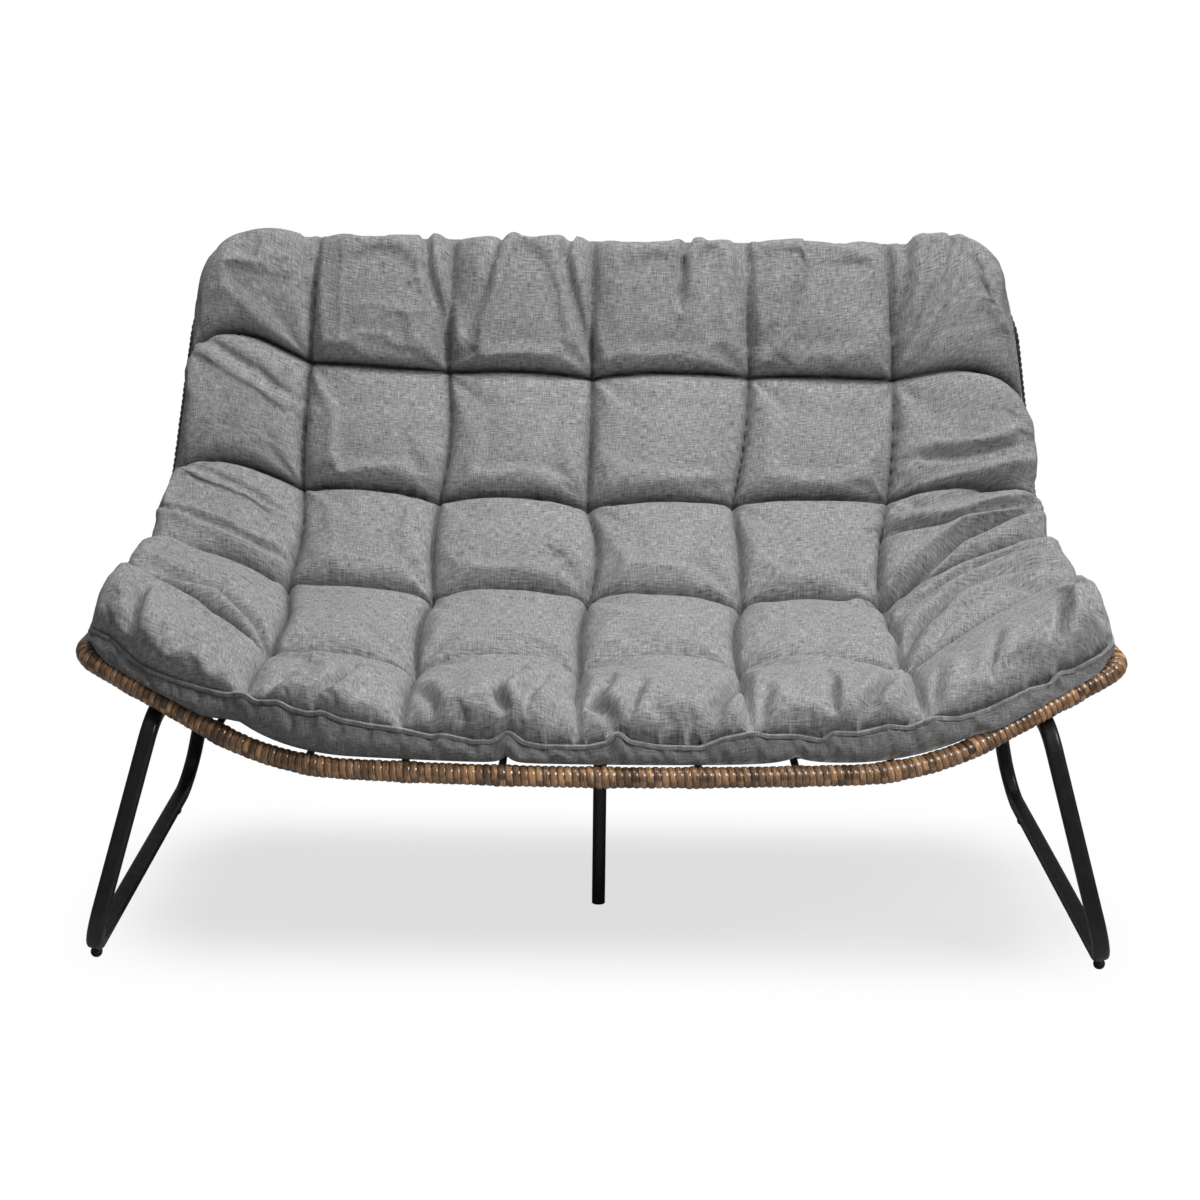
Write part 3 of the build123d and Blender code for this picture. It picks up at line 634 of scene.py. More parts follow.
class ChairStage(bpy.types.PropertyGroup):
    camera_distance: length_setting("Distance", "Camera in front of the chair's middle", 3.08)
    camera_height: length_setting("Height", "Camera over the floor", 1.195)
    camera_aside: length_setting("Aside", "Camera to the right of the chair's middle", -0.003)
    camera_pitch: angle_setting("Pitch", "Camera below the horizon", radians(14.05))
    camera_roll: angle_setting("Roll", "Turn of the camera on its axis", radians(0.7))
    camera_view: angle_setting("View", "Angle of view", 2 * atan2(600, 2200))
    soft_light: FloatProperty(
        name="Soft light", description="Strength of the light from all round", default=0.15,
    )


# Rattan


def wound_rim(name, path, up, rattan, raised, seed):
    """One unbroken strand wound on a rim, as a grooved sleeve with a tone for each turn."""
    points_per_turn, squareness = 8, 2.6
    drift, drift_run = 0.22, 90
    uneven, sunk = 0.0003, 0.0004
    band_height, band_reach = 0.0009, 0.016
    strand_length = 0.09
    generator = np.random.default_rng(seed)
    pitch, height, sides = rattan.wrap_pitch, rattan.wrap_height, rattan.wrap_sides
    step = pitch / points_per_turn
    path = rounded_path(*path, step=step)
    count = len(path)
    side, upper = frames_along(path, up)
    angle = np.arange(sides) * 2 * pi / sides
    slip = drift * smooth_noise(count, drift_run, generator)
    phase = (np.arange(count) / points_per_turn + slip)[:, None] + angle[None, :] / (2 * pi)
    turn = np.floor(phase)
    place = phase - turn
    crown = np.sqrt(np.clip(1 - np.abs(2 * place - 1) ** squareness, 0, 1))
    turns = int(turn.max()) + 2
    tone = np.clip(generator.normal(0.5, 0.13, turns), 0, 1)
    fat = generator.uniform(-uneven, uneven, turns)
    run = np.arange(count) * step
    band = np.zeros(count)
    for spot in raised:
        nearest = run[np.argmin(np.abs(path[:, 0] - spot))]
        band += band_height * np.exp(-(((run - nearest) / band_reach) ** 4))
    lift = RIM_RADIUS - height - sunk + height * crown + fat[turn.astype(int)] * crown
    lift = lift + band[:, None]
    around = (
        np.cos(angle)[None, :, None] * side[:, None, :]
        + np.sin(angle)[None, :, None] * upper[:, None, :]
    )
    points = path[:, None, :] + around * lift[..., None]
    along = angle[None, :] / (2 * pi) * strand_length + turn * strand_length
    # crest is also the mask of the painted shade that the finish lays in the grooves between turns
    values = {
        "strand": tone[turn.astype(int)].ravel(),
        "crest": crown.ravel(),
        "strand_place": flat_points(place * pitch, along).reshape(-1, 3),
    }
    return new_object(name, points.reshape(-1, 3), tube_faces(count, sides), values)


def woven_rows(name, rattan, first_share, last_share, seed):
    """Rows of strands that pass over and under the rods two by two."""
    clearance, jitter_height, jitter_run = 0.0002, 0.0004, 6
    filled, texture_width, sides = 0.94, 0.004, 8
    generator = np.random.default_rng(seed)
    rod_share = ROD_PITCH / CORNER_X
    count = int(2 * WIDEST_SHARE / rod_share * rattan.row_points) + 1
    shares = np.linspace(-WIDEST_SHARE, WIDEST_SHARE, count)
    profiles = [Profile(share) for share in shares]
    rows = int((Profile(0.0).length - WEAVE_SETBACK) / rattan.row_pitch)
    section = np.linspace(0, 2 * pi, sides, endpoint=False)
    sway = ROD_RADIUS + rattan.row_thickness / 2 + clearance
    points, faces, tones, crests, places = [], [], [], [], []
    for row in range(rows):
        share = (row + 0.5) / rows
        if not first_share <= share < last_share:
            continue
        sign = 1 if row // 2 % 2 else -1
        jitter = jitter_height * smooth_noise(count, jitter_run, generator)
        wave = sign * sway * np.cos(pi * shares / rod_share)
        tone = np.clip(generator.normal(0.5, 0.22), 0, 1)
        faces += tube_faces(count, sides, start=len(points) * count * sides)
        strand = []
        for index, profile in enumerate(profiles):
            reach = profile.length - WEAVE_SETBACK
            distance = WEAVE_SETBACK + reach * share + jitter[index]
            half_wide = filled / 2 * reach / rows
            along = distance + half_wide * np.cos(section)
            lift = wave[index] + rattan.row_thickness / 2 * np.sin(section)
            strand.append(profile.at(along, lift))
        points.append(np.concatenate(strand))
        tones.append(np.full(count * sides, tone))
        # Crest is 1 on a strand's upper and lower faces and 0 at its edges, where the finish paints
        # shade between rows
        crests.append(np.tile(np.abs(np.sin(section)), count))
        across = np.repeat(shares * CORNER_X, sides)
        offset = np.tile(np.cos(section) * texture_width, count)
        places.append(flat_points(offset, across + row))
    values = {
        "strand": np.concatenate(tones),
        "crest": np.concatenate(crests),
        "strand_place": np.concatenate(places),
    }
    return new_object(name, np.concatenate(points), faces, values)


# Cushion


def ease(value, power=2.0):
    """Rounded rise from 0 at an edge to 1 inside, squarer with a higher power."""
    inside = np.clip(value, 0, 1)
    return (1 - (1 - inside) ** power) ** (1 / power)


def fade(value):
    """Smooth fall from 1 at 0 to 0 at 1."""
    part = np.clip(value, 0, 1)
    return 1 - part * part * (3 - 2 * part)


def bell(distance, width):
    """Smooth peak of 1 that is nearly gone at twice its width."""
    return np.exp(-((distance / width) ** 2))


def line_distance(x, y, points):
    """Signed distance from an open line, and how far along it the nearest point is."""
    nearest = np.full(x.shape, np.inf)
    side = np.zeros(x.shape)
    place = np.zeros(x.shape)
    for number, ((ax, ay), (bx, by)) in enumerate(zip(points, points[1:])):
        length = np.hypot(bx - ax, by - ay)
        tx, ty = (bx - ax) / length, (by - ay) / length
        part = np.clip((x - ax) * tx + (y - ay) * ty, 0, length)
        dx, dy = x - ax - part * tx, y - ay - part * ty
        away = np.hypot(dx, dy)
        closer = away < nearest
        nearest = np.where(closer, away, nearest)
        side = np.where(closer, tx * dy - ty * dx, side)
        place = np.where(closer, (number + part / length) / (len(points) - 1), place)
    return nearest * np.sign(side), place


def bowed(line, place, knots, bow, generator):
    """A line whose run between each two knots is bowed by a random amount."""
    for low, high in zip(knots, knots[1:]):
        part = np.clip((place - low) / (high - low), 0, 1)
        line = line + generator.uniform(*bow) * np.sin(pi * part)
    return line


class CushionCover:
    """The cushion's cover as a grid across and along the scoop, with its sizes in metres."""

    def __init__(self, cushion, finer=1):
        squareness = 10
        self.cushion = cushion
        columns = finer * round(2 * cushion.side_share * CORNER_X / cushion.cell)
        rows = finer * round((Profile(0.0).length + cushion.overhang) / cushion.cell)
        self.a = np.linspace(-1, 1, columns + 1)[:, None] * np.ones(rows + 1)
        self.b = np.linspace(0, 1, rows + 1)[None, :] * np.ones((columns + 1, 1))
        pull = cushion.corner_pull
        self.share = cushion.side_share * self.a * (1 - pull * np.abs(2 * self.b - 1) ** squareness)
        self.along = 0.5 + (self.b - 0.5) * (1 - pull * np.abs(self.a) ** squareness)
        known = np.linspace(0, WIDEST_SHARE, 200)
        reach = [Profile(share).length for share in known]
        self.length = np.interp(np.abs(self.share), known, reach) + cushion.overhang
        self.distance = self.along * self.length
        self.across = self.share * CORNER_X
        self.from_side = (1 - np.abs(self.a)) * cushion.side_share * CORNER_X
        self.from_front = self.b * self.length
        self.from_top = (1 - self.b) * self.length
        self.from_ends = np.minimum(self.from_front, self.from_top)
        self.seam = self.seam_lift()
        self.to_row, self.to_column = self.tack_lines()
        self.fold = self.folds()

    def seam_lift(self):
        """Height of the edge seam: level at the sides and top, wavy at the front."""
        front_reach, side_reach = 0.07, 0.05
        least, most, count = -0.004, 0.006, 60
        slant, waves, first = 1.7, 14, 26
        across, lift = np.array(FRONT_SEAM).T
        level = self.cushion.seam_lift
        wave = np.interp(self.across, across, lift) - level
        knots = np.random.default_rng(12).uniform(least, most, count)
        loose = np.interp((self.along + slant * self.a) * waves, np.arange(count) - first, knots)
        loose = loose * fade(self.from_side / side_reach)
        return level + wave * fade(self.from_front / front_reach) + loose

    def low_lift(self):
        """Height of the underside, raised over the rims and pinched at the front."""
        rest, over_ends, over_sides = 0.0108, 0.0064, 0.0125
        side_share, side_run = 0.89, 0.1
        front_run, top_run, pinch_run = 0.3, 0.14, 0.05
        side = np.clip((np.abs(self.share) - side_share) / side_run, 0, 1.1)
        front = fade(self.from_front / front_run)
        top = fade(self.from_top / top_run)
        pinch = np.zeros_like(self.share)
        for spot, high, wide in LOW_PINCHES:
            near = np.exp(-np.abs(self.across - spot) / wide)
            pinch += high * near * fade(self.from_front / pinch_run)
        raised = np.maximum(np.maximum(over_ends * front, over_ends * top), over_sides * side)
        return rest + raised + pinch

    def over_rim(self):
        """Where the front of the underside hangs over the rim, from 0 to 1."""
        begins, begin_run, ends, end_run, reach = 0.47, 0.05, 0.65, 0.04, 0.03
        away = np.abs(self.across)
        where = (1 - fade((away - begins) / begin_run)) * fade((away - ends) / end_run)
        return where * fade(self.from_front / reach)

    def place(self, lift, distance=None):
        """Points of the grid at given lifts."""
        return scoop_points(self.share, self.distance if distance is None else distance, lift)

    def tack_lines(self):
        """Distance of every point from the nearest row and column of tacks."""
        row_bow, column_bow = (0.002, 0.008), (-0.015, 0.015)
        generator = np.random.default_rng(17)
        to_row = np.full(self.a.shape, np.inf)
        for acrosses, alongs in zip(TACK_ACROSS, TACK_ALONG_SHARES):
            knots = -CREASE_END, *acrosses, CREASE_END
            line = np.interp(self.across, knots, alongs)
            line = bowed(line, self.across, knots, row_bow, generator)
            to_row = np.minimum(to_row, np.abs(self.along - line) * self.length)
        to_column = np.full(self.a.shape, np.inf)
        rows = np.reshape(TACKS, (len(TACK_ACROSS), -1, 2))
        for acrosses, alongs in rows.transpose(1, 2, 0):
            line = np.interp(self.along, alongs, acrosses)
            line = bowed(line, self.along, alongs, column_bow, generator)
            to_column = np.minimum(to_column, np.abs(self.across - line))
        return to_row, to_column

    def pillows(self):
        """Height of the pillows from 0 at a tack to 1 at a crown."""
        wide = self.cushion.pillow_shoulder
        along = ease(self.to_row / wide, self.cushion.pillow_fullness)
        across = ease(self.to_column / wide, self.cushion.pillow_fullness)
        crease = self.cushion.crease_share
        return along * across + crease * (across * (1 - along) + along * (1 - across))

    def sag(self):
        """How far the pillows slip over the crease below them, less near the edges."""
        row_reach, column_reach, top_reach, side_reach = 0.065, 0.08, 0.07, 0.2
        front_share, front_run = 0.2, 0.3
        slip = ease(self.to_row / row_reach) * (0.4 + 0.6 * ease(self.to_column / column_reach))
        slip *= self.cushion.sag * np.clip((self.along - front_share) / front_run, 0, 1)
        return slip * fade(1 - self.from_top / top_reach) * fade(1 - self.from_side / side_reach)

    def notches(self):
        """Sharp bottoms of the creases, shallower in the columns."""
        row_width, column_width, column_share = 0.0055, 0.0045, 0.8
        column = column_share * bell(self.to_column, column_width)
        return self.cushion.notch * np.maximum(bell(self.to_row, row_width), column)

    def folds(self):
        """Depth of the folds and of the small gathers round the tacks and along the seam."""
        ridge_height, ridge_place, ridge_width = 0.6, 2.3, 1.4
        gather_reach, gather_end = 0.03, 6
        ripple_pitch, ripple_share, ripple_reach, ripple_start = 1 / 38, 0.4, 0.05, 0.008
        depth = np.zeros_like(self.a)
        for deep, wide, points in FOLDS:
            away, place = line_distance(self.across, self.distance, points)
            ends = np.minimum(1, 4 * np.minimum(place + 0.12, 1.12 - place))
            ridge = bell(away - ridge_place * wide, ridge_width * wide)
            depth += deep * (bell(away, wide) - ridge_height * ridge) * ends
        gather = self.cushion.gather
        generator = np.random.default_rng(31)
        for x, along in TACKS:
            dx, dy = self.across - x, (self.along - along) * self.length
            away = np.hypot(dx, dy) / gather_reach
            rays = np.cos(generator.integers(5, 9) * np.arctan2(dy, dx) + generator.uniform(0, 6))
            depth += gather * rays * away * np.exp(1 - away) * (away < gather_end)
        knots = generator.uniform(-1, 1, 400)
        beside = self.distance * np.sign(self.a) + 3
        round_edge = np.where(self.from_side < self.from_ends, beside, self.across + 5)
        edge = np.minimum(self.from_side, self.from_ends)
        ripple = np.interp(round_edge / ripple_pitch, np.arange(len(knots)), knots)
        ripple = gather * ripple_share * ripple * fade(edge / ripple_reach)
        return depth + ripple * np.clip(edge / ripple_start, 0, 1)

    def top_lift(self, fine=False):
        """Height of the top, with the sharp bottoms of its creases if it is fine."""
        cushion = self.cushion
        lift = cushion.tack_lift + (cushion.crown_lift - cushion.tack_lift) * self.pillows()
        if fine:
            lift = lift - self.notches()
        lift = lift - self.fold
        return self.seam + (lift - self.seam) * self.edge()

    def edge(self):
        """Rounding of the cover from 0 at the seam to 1 inside."""
        radius = self.cushion.edge_radius
        return ease(self.from_side / radius) * ease(self.from_ends / radius)

    def flat_cloth(self):
        """Place of every point on the cloth laid flat, across and along."""
        thickness = 0.045
        return arc_lengths(self.place(self.cushion.seam_lift + thickness * self.edge()))

    def creases(self):
        """How dark the painted shade lies in the creases and folds, from 0 to 1."""
        row_width, column_width, deep_fold = 0.004, 0.0045, 0.016
        first_row, last_row, run = 0.18, 0.83, 0.1
        inside = fade((self.along - last_row) / run) * fade((first_row - self.along) / run)
        sewn = 0.25 + 0.75 * inside
        row, column = bell(self.to_row, row_width), bell(self.to_column, column_width)
        folds = 0.5 * np.clip(self.fold / deep_fold, 0, 1) ** 3
        return np.maximum(np.maximum(row, 0.6 * sewn * column), folds) * self.edge()

    def roll(self, distance, reach):
        """How far the pillows bulge past the seam near an edge, less at creases and folds."""
        crease_reach, deep_fold = 0.05, 0.012
        near = distance / reach
        full = 0.35 + 0.65 * ease(np.minimum(self.to_row, self.to_column) / crease_reach)
        full *= np.clip(1 - self.fold / deep_fold, 0.1, 1.4)
        return self.cushion.edge_roll * near * np.exp(1 - near) * full

    def top(self, fine=False):
        """Points of the cover's top."""
        top_reach, front_reach, side_reach = 0.024, 0.03, 0.03
        ahead = self.roll(self.from_top, top_reach) - 0.5 * self.roll(self.from_front, front_reach)
        aside = 0.7 * self.roll(self.from_side, side_reach) * np.sign(self.a) / CORNER_X
        distance = self.distance - self.sag() + ahead
        return scoop_points(self.share + aside, distance, self.top_lift(fine))

    def wall(self, top, ring, rings):
        """Rings of the strip below the seam, points of the underside and directions away from it."""
        drop, drop_run, reach = 0.0045, 0.012, 0.011
        columns, rows = self.a.shape
        over = self.over_rim()
        lift = self.low_lift() - drop * over * fade(self.from_front / drop_run)
        low = self.place(lift, self.distance - reach * over).reshape(-1, 3)
        inner = np.arange(columns * rows).reshape(columns, rows)[1:-1, 1:-1].ravel()
        near = inner[ring_of(columns - 2, rows - 2)]
        spots = np.linspace(0, len(near), len(ring), endpoint=False).astype(int)
        outward = low[ring] - low[near[spots]]
        smoothed = len(ring) // 96
        shifts = range(-smoothed, smoothed + 1)
        outward = unit(sum(np.roll(outward, shift, axis=0) for shift in shifts))
        made = []
        for number in range(1, rings + 1):
            share = number / rings
            bulge = self.cushion.wall_bulge * sin(pi * share)
            made.append(top[ring] * (1 - share) + low[ring] * share + outward * bulge)
        return np.array(made), low, outward


def halved(values):
    """Values of a grid with one more row and column put between each two."""
    for axis in (0, 1):
        values = np.moveaxis(values, axis, 0)
        wider = np.empty((2 * len(values) - 1, *values.shape[1:]))
        wider[::2] = values
        wider[1::2] = (values[1:] + values[:-1]) / 2
        values = np.moveaxis(wider, 0, axis)
    return values


def arc_lengths(points):
    """Length along each line of a grid from its middle, across and along."""
    lengths = []
    for axis in (0, 1):
        steps = np.linalg.norm(np.diff(points, axis=axis), axis=2)
        run = np.insert(np.cumsum(steps, axis=axis), 0, 0, axis=axis)
        lengths.append(run - np.take(run, [run.shape[axis] // 2], axis=axis))
    return lengths


def scoop_points(share, distance, lift):
    """Points over the scoop at shares of its half width, distances along it and lifts."""
    widest, count = 0.996, 125
    known = np.linspace(-widest, widest, count)
    profiles = [Profile(value) for value in known]
    step = known[1] - known[0]
    below = np.clip(((share - known[0]) / step).astype(int), 0, count - 2)
    part = (share - known[below]) / step
    points = np.zeros((*share.shape, 3))
    for index in range(count - 1):
        chosen = below == index
        if not chosen.any():
            continue
        low = profiles[index].at(distance[chosen], lift[chosen])
        high = profiles[index + 1].at(distance[chosen], lift[chosen])
        points[chosen] = low + (high - low) * part[chosen][:, None]
    return points


def swell(piece, pins, cushion):
    """Fills the cover by a short cloth simulation and returns its points."""
    group = piece.vertex_groups.new(name="sewn")
    for index in np.nonzero(pins > 0)[0]:
        group.add([int(index)], float(pins[index]), "REPLACE")
    cloth = piece.modifiers.new("filling", "CLOTH")
    given = cloth.settings
    given.quality = 5
    given.mass = 0.25
    given.tension_stiffness = 12
    given.compression_stiffness = 8
    given.shear_stiffness = 4
    given.bending_stiffness = 0.4
    given.use_pressure = True
    given.uniform_pressure_force = cushion.swell_pressure
    given.shrink_min = -cushion.swell_growth
    given.vertex_group_mass = "sewn"
    given.pin_stiffness = 1.0
    given.effector_weights.gravity = 0.0
    cloth.collision_settings.use_collision = False
    cloth.collision_settings.use_self_collision = False
    cloth.point_cache.frame_start = 1
    cloth.point_cache.frame_end = cushion.swell_frames
    scene = bpy.context.scene
    for number in range(1, cushion.swell_frames + 1):
        scene.frame_set(number)
    evaluated = piece.evaluated_get(bpy.context.evaluated_depsgraph_get())
    moved = np.empty(len(piece.data.vertices) * 3)
    evaluated.data.vertices.foreach_get("co", moved)
    piece.modifiers.remove(cloth)
    piece.vertex_groups.remove(group)
    scene.frame_set(1)
    return moved.reshape(-1, 3)


def ring_of(columns, rows):
    """Indices round the edge of a grid, counter-clockwise seen from above."""
    index = np.arange(columns * rows).reshape(columns, rows)
    return np.concatenate([index[:-1, 0], index[-1, :-1], index[:0:-1, -1], index[0, :0:-1]])


def wall_lines(ring, first, rings):
    """Numbers of the points of the seam and of each ring below it."""
    return [ring, *(first + np.arange(len(ring)) + number * len(ring) for number in range(rings))]


def wall_faces(lines):
    """Faces between each two neighbouring rings."""
    faces = []
    for upper, lower in zip(lines, lines[1:]):
        after = np.roll(upper, -1), np.roll(lower, -1)
        faces += [*np.stack([upper, lower, after[1], after[0]], axis=1)]
    return faces


def swelling(cushion, rings):
    """Movement of the cover and of the strip below the seam as the filling swells them."""
    held_crease, held_tack, free_width = 0.006, 0.008, 0.06
    cover = CushionCover(cushion)
    columns, rows = cover.a.shape
    ring = ring_of(columns, rows)
    top = cover.top().reshape(-1, 3)
    wall, _, _ = cover.wall(top, ring, rings)
    points = np.concatenate([top, *wall])
    start = len(top)
    lines = wall_lines(ring, start, rings)
    crease = np.minimum(cover.to_row, cover.to_column).ravel()
    tack = np.hypot(cover.to_row, cover.to_column).ravel()
    pins = np.zeros(len(points))
    pins[:start][crease < held_crease] = cushion.crease_pin
    pins[:start][tack < held_tack] = 1.0
    pins[ring] = 1.0
    pins[lines[-1][0] :] = 1.0
    piece = new_object("filling", points, [*grid_faces(columns, rows, flip=True), *wall_faces(lines)])
    moved = swell(piece, pins, cushion)
    bpy.data.objects.remove(piece)
    shift = moved - points
    far = np.linalg.norm(shift, axis=1)
    limit = cushion.swell_limit
    shift *= (limit * np.tanh(far / limit) / np.maximum(far, 1e-9))[:, None]
    free = np.ones(len(points))
    free[:start] = np.clip(crease / free_width, cushion.crease_hold, 1)
    shift *= free[:, None]
    above, below = shift[:start], shift[start : lines[-1][0]]
    return above.reshape(columns, rows, 3), below.reshape(-1, len(ring), 3)


def cloth_places(cover, top, wall, ring, inner):
    """Places on the flat cloth, of the top, the strip below the seam and the underside."""
    columns, rows = cover.a.shape
    cloth = flat_points(*cover.flat_cloth()).reshape(-1, 3)
    runs = columns - 1, rows - 1, columns - 1, rows - 1
    away = np.zeros((len(ring), 3))
    away[:, 0] = np.repeat((0, 1, 0, -1), runs)
    away[:, 1] = np.repeat((-1, 0, 1, 0), runs)
    deep = np.linalg.norm(np.diff([top[ring], *wall], axis=0), axis=2).cumsum(axis=0)
    strip = [cloth[ring] + away * depth[:, None] for depth in deep]
    return np.concatenate([cloth, *strip, cloth[inner]])


def tack_spots(cover, top):
    """Place of each tack on the cover, and the direction out of the cloth there."""
    rows = cover.a.shape[1]
    spots = []
    for x, share in TACKS:
        gap = np.hypot(cover.across - x, (cover.along - share) * cover.length).ravel()
        nearest = int(np.argmin(gap))
        across = top[nearest + rows] - top[nearest - rows]
        along = top[nearest + 1] - top[nearest - 1]
        spots.append((top[nearest], unit(np.cross(across, along))))
    return spots


def make_cover(cushion):
    """The swollen cover, closed by its underside, with its seam line and tacks."""
    rings, painted_wall_shade = 6, 0.42
    swollen, wall_swollen = swelling(cushion, rings)
    cover = CushionCover(cushion, finer=2)
    columns, rows = cover.a.shape
    ring = ring_of(columns, rows)
    top = (cover.top(fine=True) + halved(swollen)).reshape(-1, 3)
    wall, low, outward = cover.wall(top, ring, rings)
    wall[:-1, ::2] += wall_swollen
    wall[:-1, 1::2] += (wall_swollen + np.roll(wall_swollen, -1, axis=1)) / 2
    inner = np.setdiff1d(np.arange(columns * rows), ring)
    points = np.concatenate([top, *wall, low[inner]])
    lines = wall_lines(ring, len(top), rings)
    number = np.zeros(columns * rows, int)
    number[ring] = lines[-1]
    number[inner] = lines[-1][-1] + 1 + np.arange(len(inner))
    underside = number[grid_faces(columns, rows)]
    faces = [*grid_faces(columns, rows, flip=True), *wall_faces(lines), *underside]
    # Painted shade: crease darkness for the top, and an even painted shade on the strip below the seam
    crease = np.zeros(len(points))
    crease[: len(top)] = cover.creases().ravel()
    crease[len(top) : len(top) + wall.size // 3] = painted_wall_shade
    cloth = cloth_places(cover, top, wall, ring, inner)
    piece = new_object("cushion_cover", points, faces, {"cloth": cloth, "crease": crease})
    return piece, top[ring], outward, tack_spots(cover, top)


def make_tacks(tacks):
    """Two short crossed stitches of thread at each tack."""
    half_length, bow_height, sunk, thread_radius = 0.0045, 0.0018, 0.0008, 0.0006
    crossing, sides = 1.3, 6
    bow = np.linspace(-1, 1, 7)
    height = bow_height * (1 - bow**2) + sunk
    points, faces = [], []
    generator = np.random.default_rng(8)
    for centre, normal in tacks:
        turn = generator.uniform(0, pi)
        first = unit(np.cross(normal, (0, 1, 0)))
        second = np.cross(normal, first)
        for angle in (turn, turn + crossing):
            along = first * cos(angle) + second * sin(angle)
            aside = np.cross(normal, along)
            faces += tube_faces(len(bow), sides, start=len(points))
            for spot in centre + np.outer(bow * half_length, along) + np.outer(height, normal):
                for number in range(sides):
                    around = 2 * pi * number / sides
                    points.append(spot + thread_radius * (aside * cos(around) + normal * sin(around)))
    return new_object("tack_threads", points, faces)


def make_seam(line, outward):
    """The seam's turned edge: two rolled lips side by side, all round the cover."""
    units_per_metre = 700
    section = np.array([
        (-2.5, 1.6), (0.2, 2.3), (1.9, 2.3), (2.7, 1.4), (1.6, 0.2),
        (2.5, -1.0), (1.7, -1.9), (0.0, -1.9), (-2.5, -1.2),
    ]) / units_per_metre
    line = np.concatenate([line[-3:], line, line[:3]])
    for _ in range(2):
        line[1:-1] = (line[:-2] + 2 * line[1:-1] + line[2:]) / 4
    line = line[3:-3]
    tangent = unit(np.roll(line, -1, axis=0) - np.roll(line, 1, axis=0))
    out = unit(outward - tangent * np.sum(outward * tangent, axis=1)[:, None])
    up = np.cross(tangent, out)
    up *= np.where(np.mean(up[:, 2]) < 0, -1, 1)
    away, lift = section[None, :, :1], section[None, :, 1:]
    points = line[:, None, :] + out[:, None, :] * away + up[:, None, :] * lift
    faces = grid_faces(len(line) + 1, len(section), closed=True) % (len(line) * len(section))
    run = np.concatenate([[0], np.cumsum(np.linalg.norm(np.diff(line, axis=0), axis=1))])
    cloth = np.stack(np.broadcast_arrays(run[:, None], section[None, :, 0], 0.0), axis=-1)
    return new_object("cushion_seam", points.reshape(-1, 3), faces, {"cloth": cloth.reshape(-1, 3)})


# Stage

# Name, place, aim, diameter, power and spread in degrees
LAMPS = (
    ("overhead_lamp", (0.2, -0.1, 3.0), (0, 0, 0.3), 1.5, 40, 180),
    ("front_lamp", (1.7, -1.5, 2.3), (-0.2, -0.42, 0.3), 1.0, 9, 78),
)


def studio_world(soft_light):
    """World that is white to the camera and lights the chair softly from all round."""
    world = bpy.data.worlds.new("studio")
    world.use_nodes = True
    nodes, links = world.node_tree.nodes, world.node_tree.links
    nodes.clear()
    mix = nodes.new("ShaderNodeMixShader")
    seen = nodes.new("ShaderNodeLightPath")
    links.new(seen.outputs["Is Camera Ray"], mix.inputs[0])
    for socket, strength in zip(mix.inputs[1:], (soft_light, 1.0)):
        light = nodes.new("ShaderNodeBackground")
        light.inputs["Color"].default_value = (1, 1, 1, 1)
        light.inputs["Strength"].default_value = strength
        links.new(light.outputs[0], socket)
    out = nodes.new("ShaderNodeOutputWorld")
    links.new(mix.outputs[0], out.inputs["Surface"])
    return world


def make_lamp(name, place, aim, diameter, power, spread):
    lamp = bpy.data.lights.new(name, "AREA")
    lamp.shape = "DISK"
    lamp.size = diameter
    lamp.energy = power
    lamp.spread = radians(spread)
    made = bpy.data.objects.new(name, lamp)
    made.location = place
    made.rotation_euler = (Vector(aim) - Vector(place)).to_track_quat("-Z", "Y").to_euler()
    return made


def make_camera(stage):
    """Camera in front of the chair, above it and tilted down."""
    lens = bpy.data.cameras.new("camera")
    lens.sensor_fit = "HORIZONTAL"
    lens.angle = stage.camera_view
    camera = bpy.data.objects.new("camera", lens)
    place = Matrix.Translation((stage.camera_aside, -stage.camera_distance, stage.camera_height))
    turn = Matrix.Rotation(pi / 2 - stage.camera_pitch, 4, "X")
    roll = Matrix.Rotation(stage.camera_roll, 4, "Z")
    camera.matrix_world = place @ turn @ roll
    return camera


# Operators


class CHAIR_OT_finish_frame(bpy.types.Operator):
    """Give every rigid piece of the frame its coat, plating or moulded finish"""

    bl_idname = "chair.finish_frame"
    bl_label = "Finish the frame"

    def execute(self, context):
        colours = context.scene.chair_finishes
        plastic = moulded_plastic(colours.plastic)
        finishes = {
            "black_steel": powder_coat(colours.steel),
            "zinc_steel": zinc_plate(colours.zinc),
            "black_plastic": plastic,
        }
        slots = {s["node"]: s["material_slot"] for s in frame["record"]["subparts"]}
        for name, node in frame["nodes"].items():
            node.data.materials.clear()
            node.data.materials.append(finishes.get(slots[name], plastic))
        return {"FINISHED"}


class CHAIR_OT_wind_rims(bpy.types.Operator):
    """Wind the front rim and the back hoop with their strands"""

    bl_idname = "chair.wind_rims"
    bl_label = "Wind the rims"

    def execute(self, context):
        colours = context.scene.chair_finishes
        rattan = context.scene.chair_rattan
        brown = resin_rattan("brown_rattan", colours.brown_rattan, 0.3)
        dark = resin_rattan("dark_rattan", colours.dark_rattan, 0.45)
        rods = [number * ROD_PITCH for number in range(-5, 6)]
        front = wound_rim("front_rim_strand", FRONT_RIM, (0, 0, 1), rattan, rods, seed=4)
        front.data.materials.append(brown)
        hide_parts("seat_rim_winding")
        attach(front, "frame")
        back = wound_rim("back_hoop_strand", BACK_HOOP, (0, 1, 0.2), rattan, [], seed=5)
        back.data.materials.append(dark)
        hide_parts("back_rim_winding")
        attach(back, "frame")
        return {"FINISHED"}


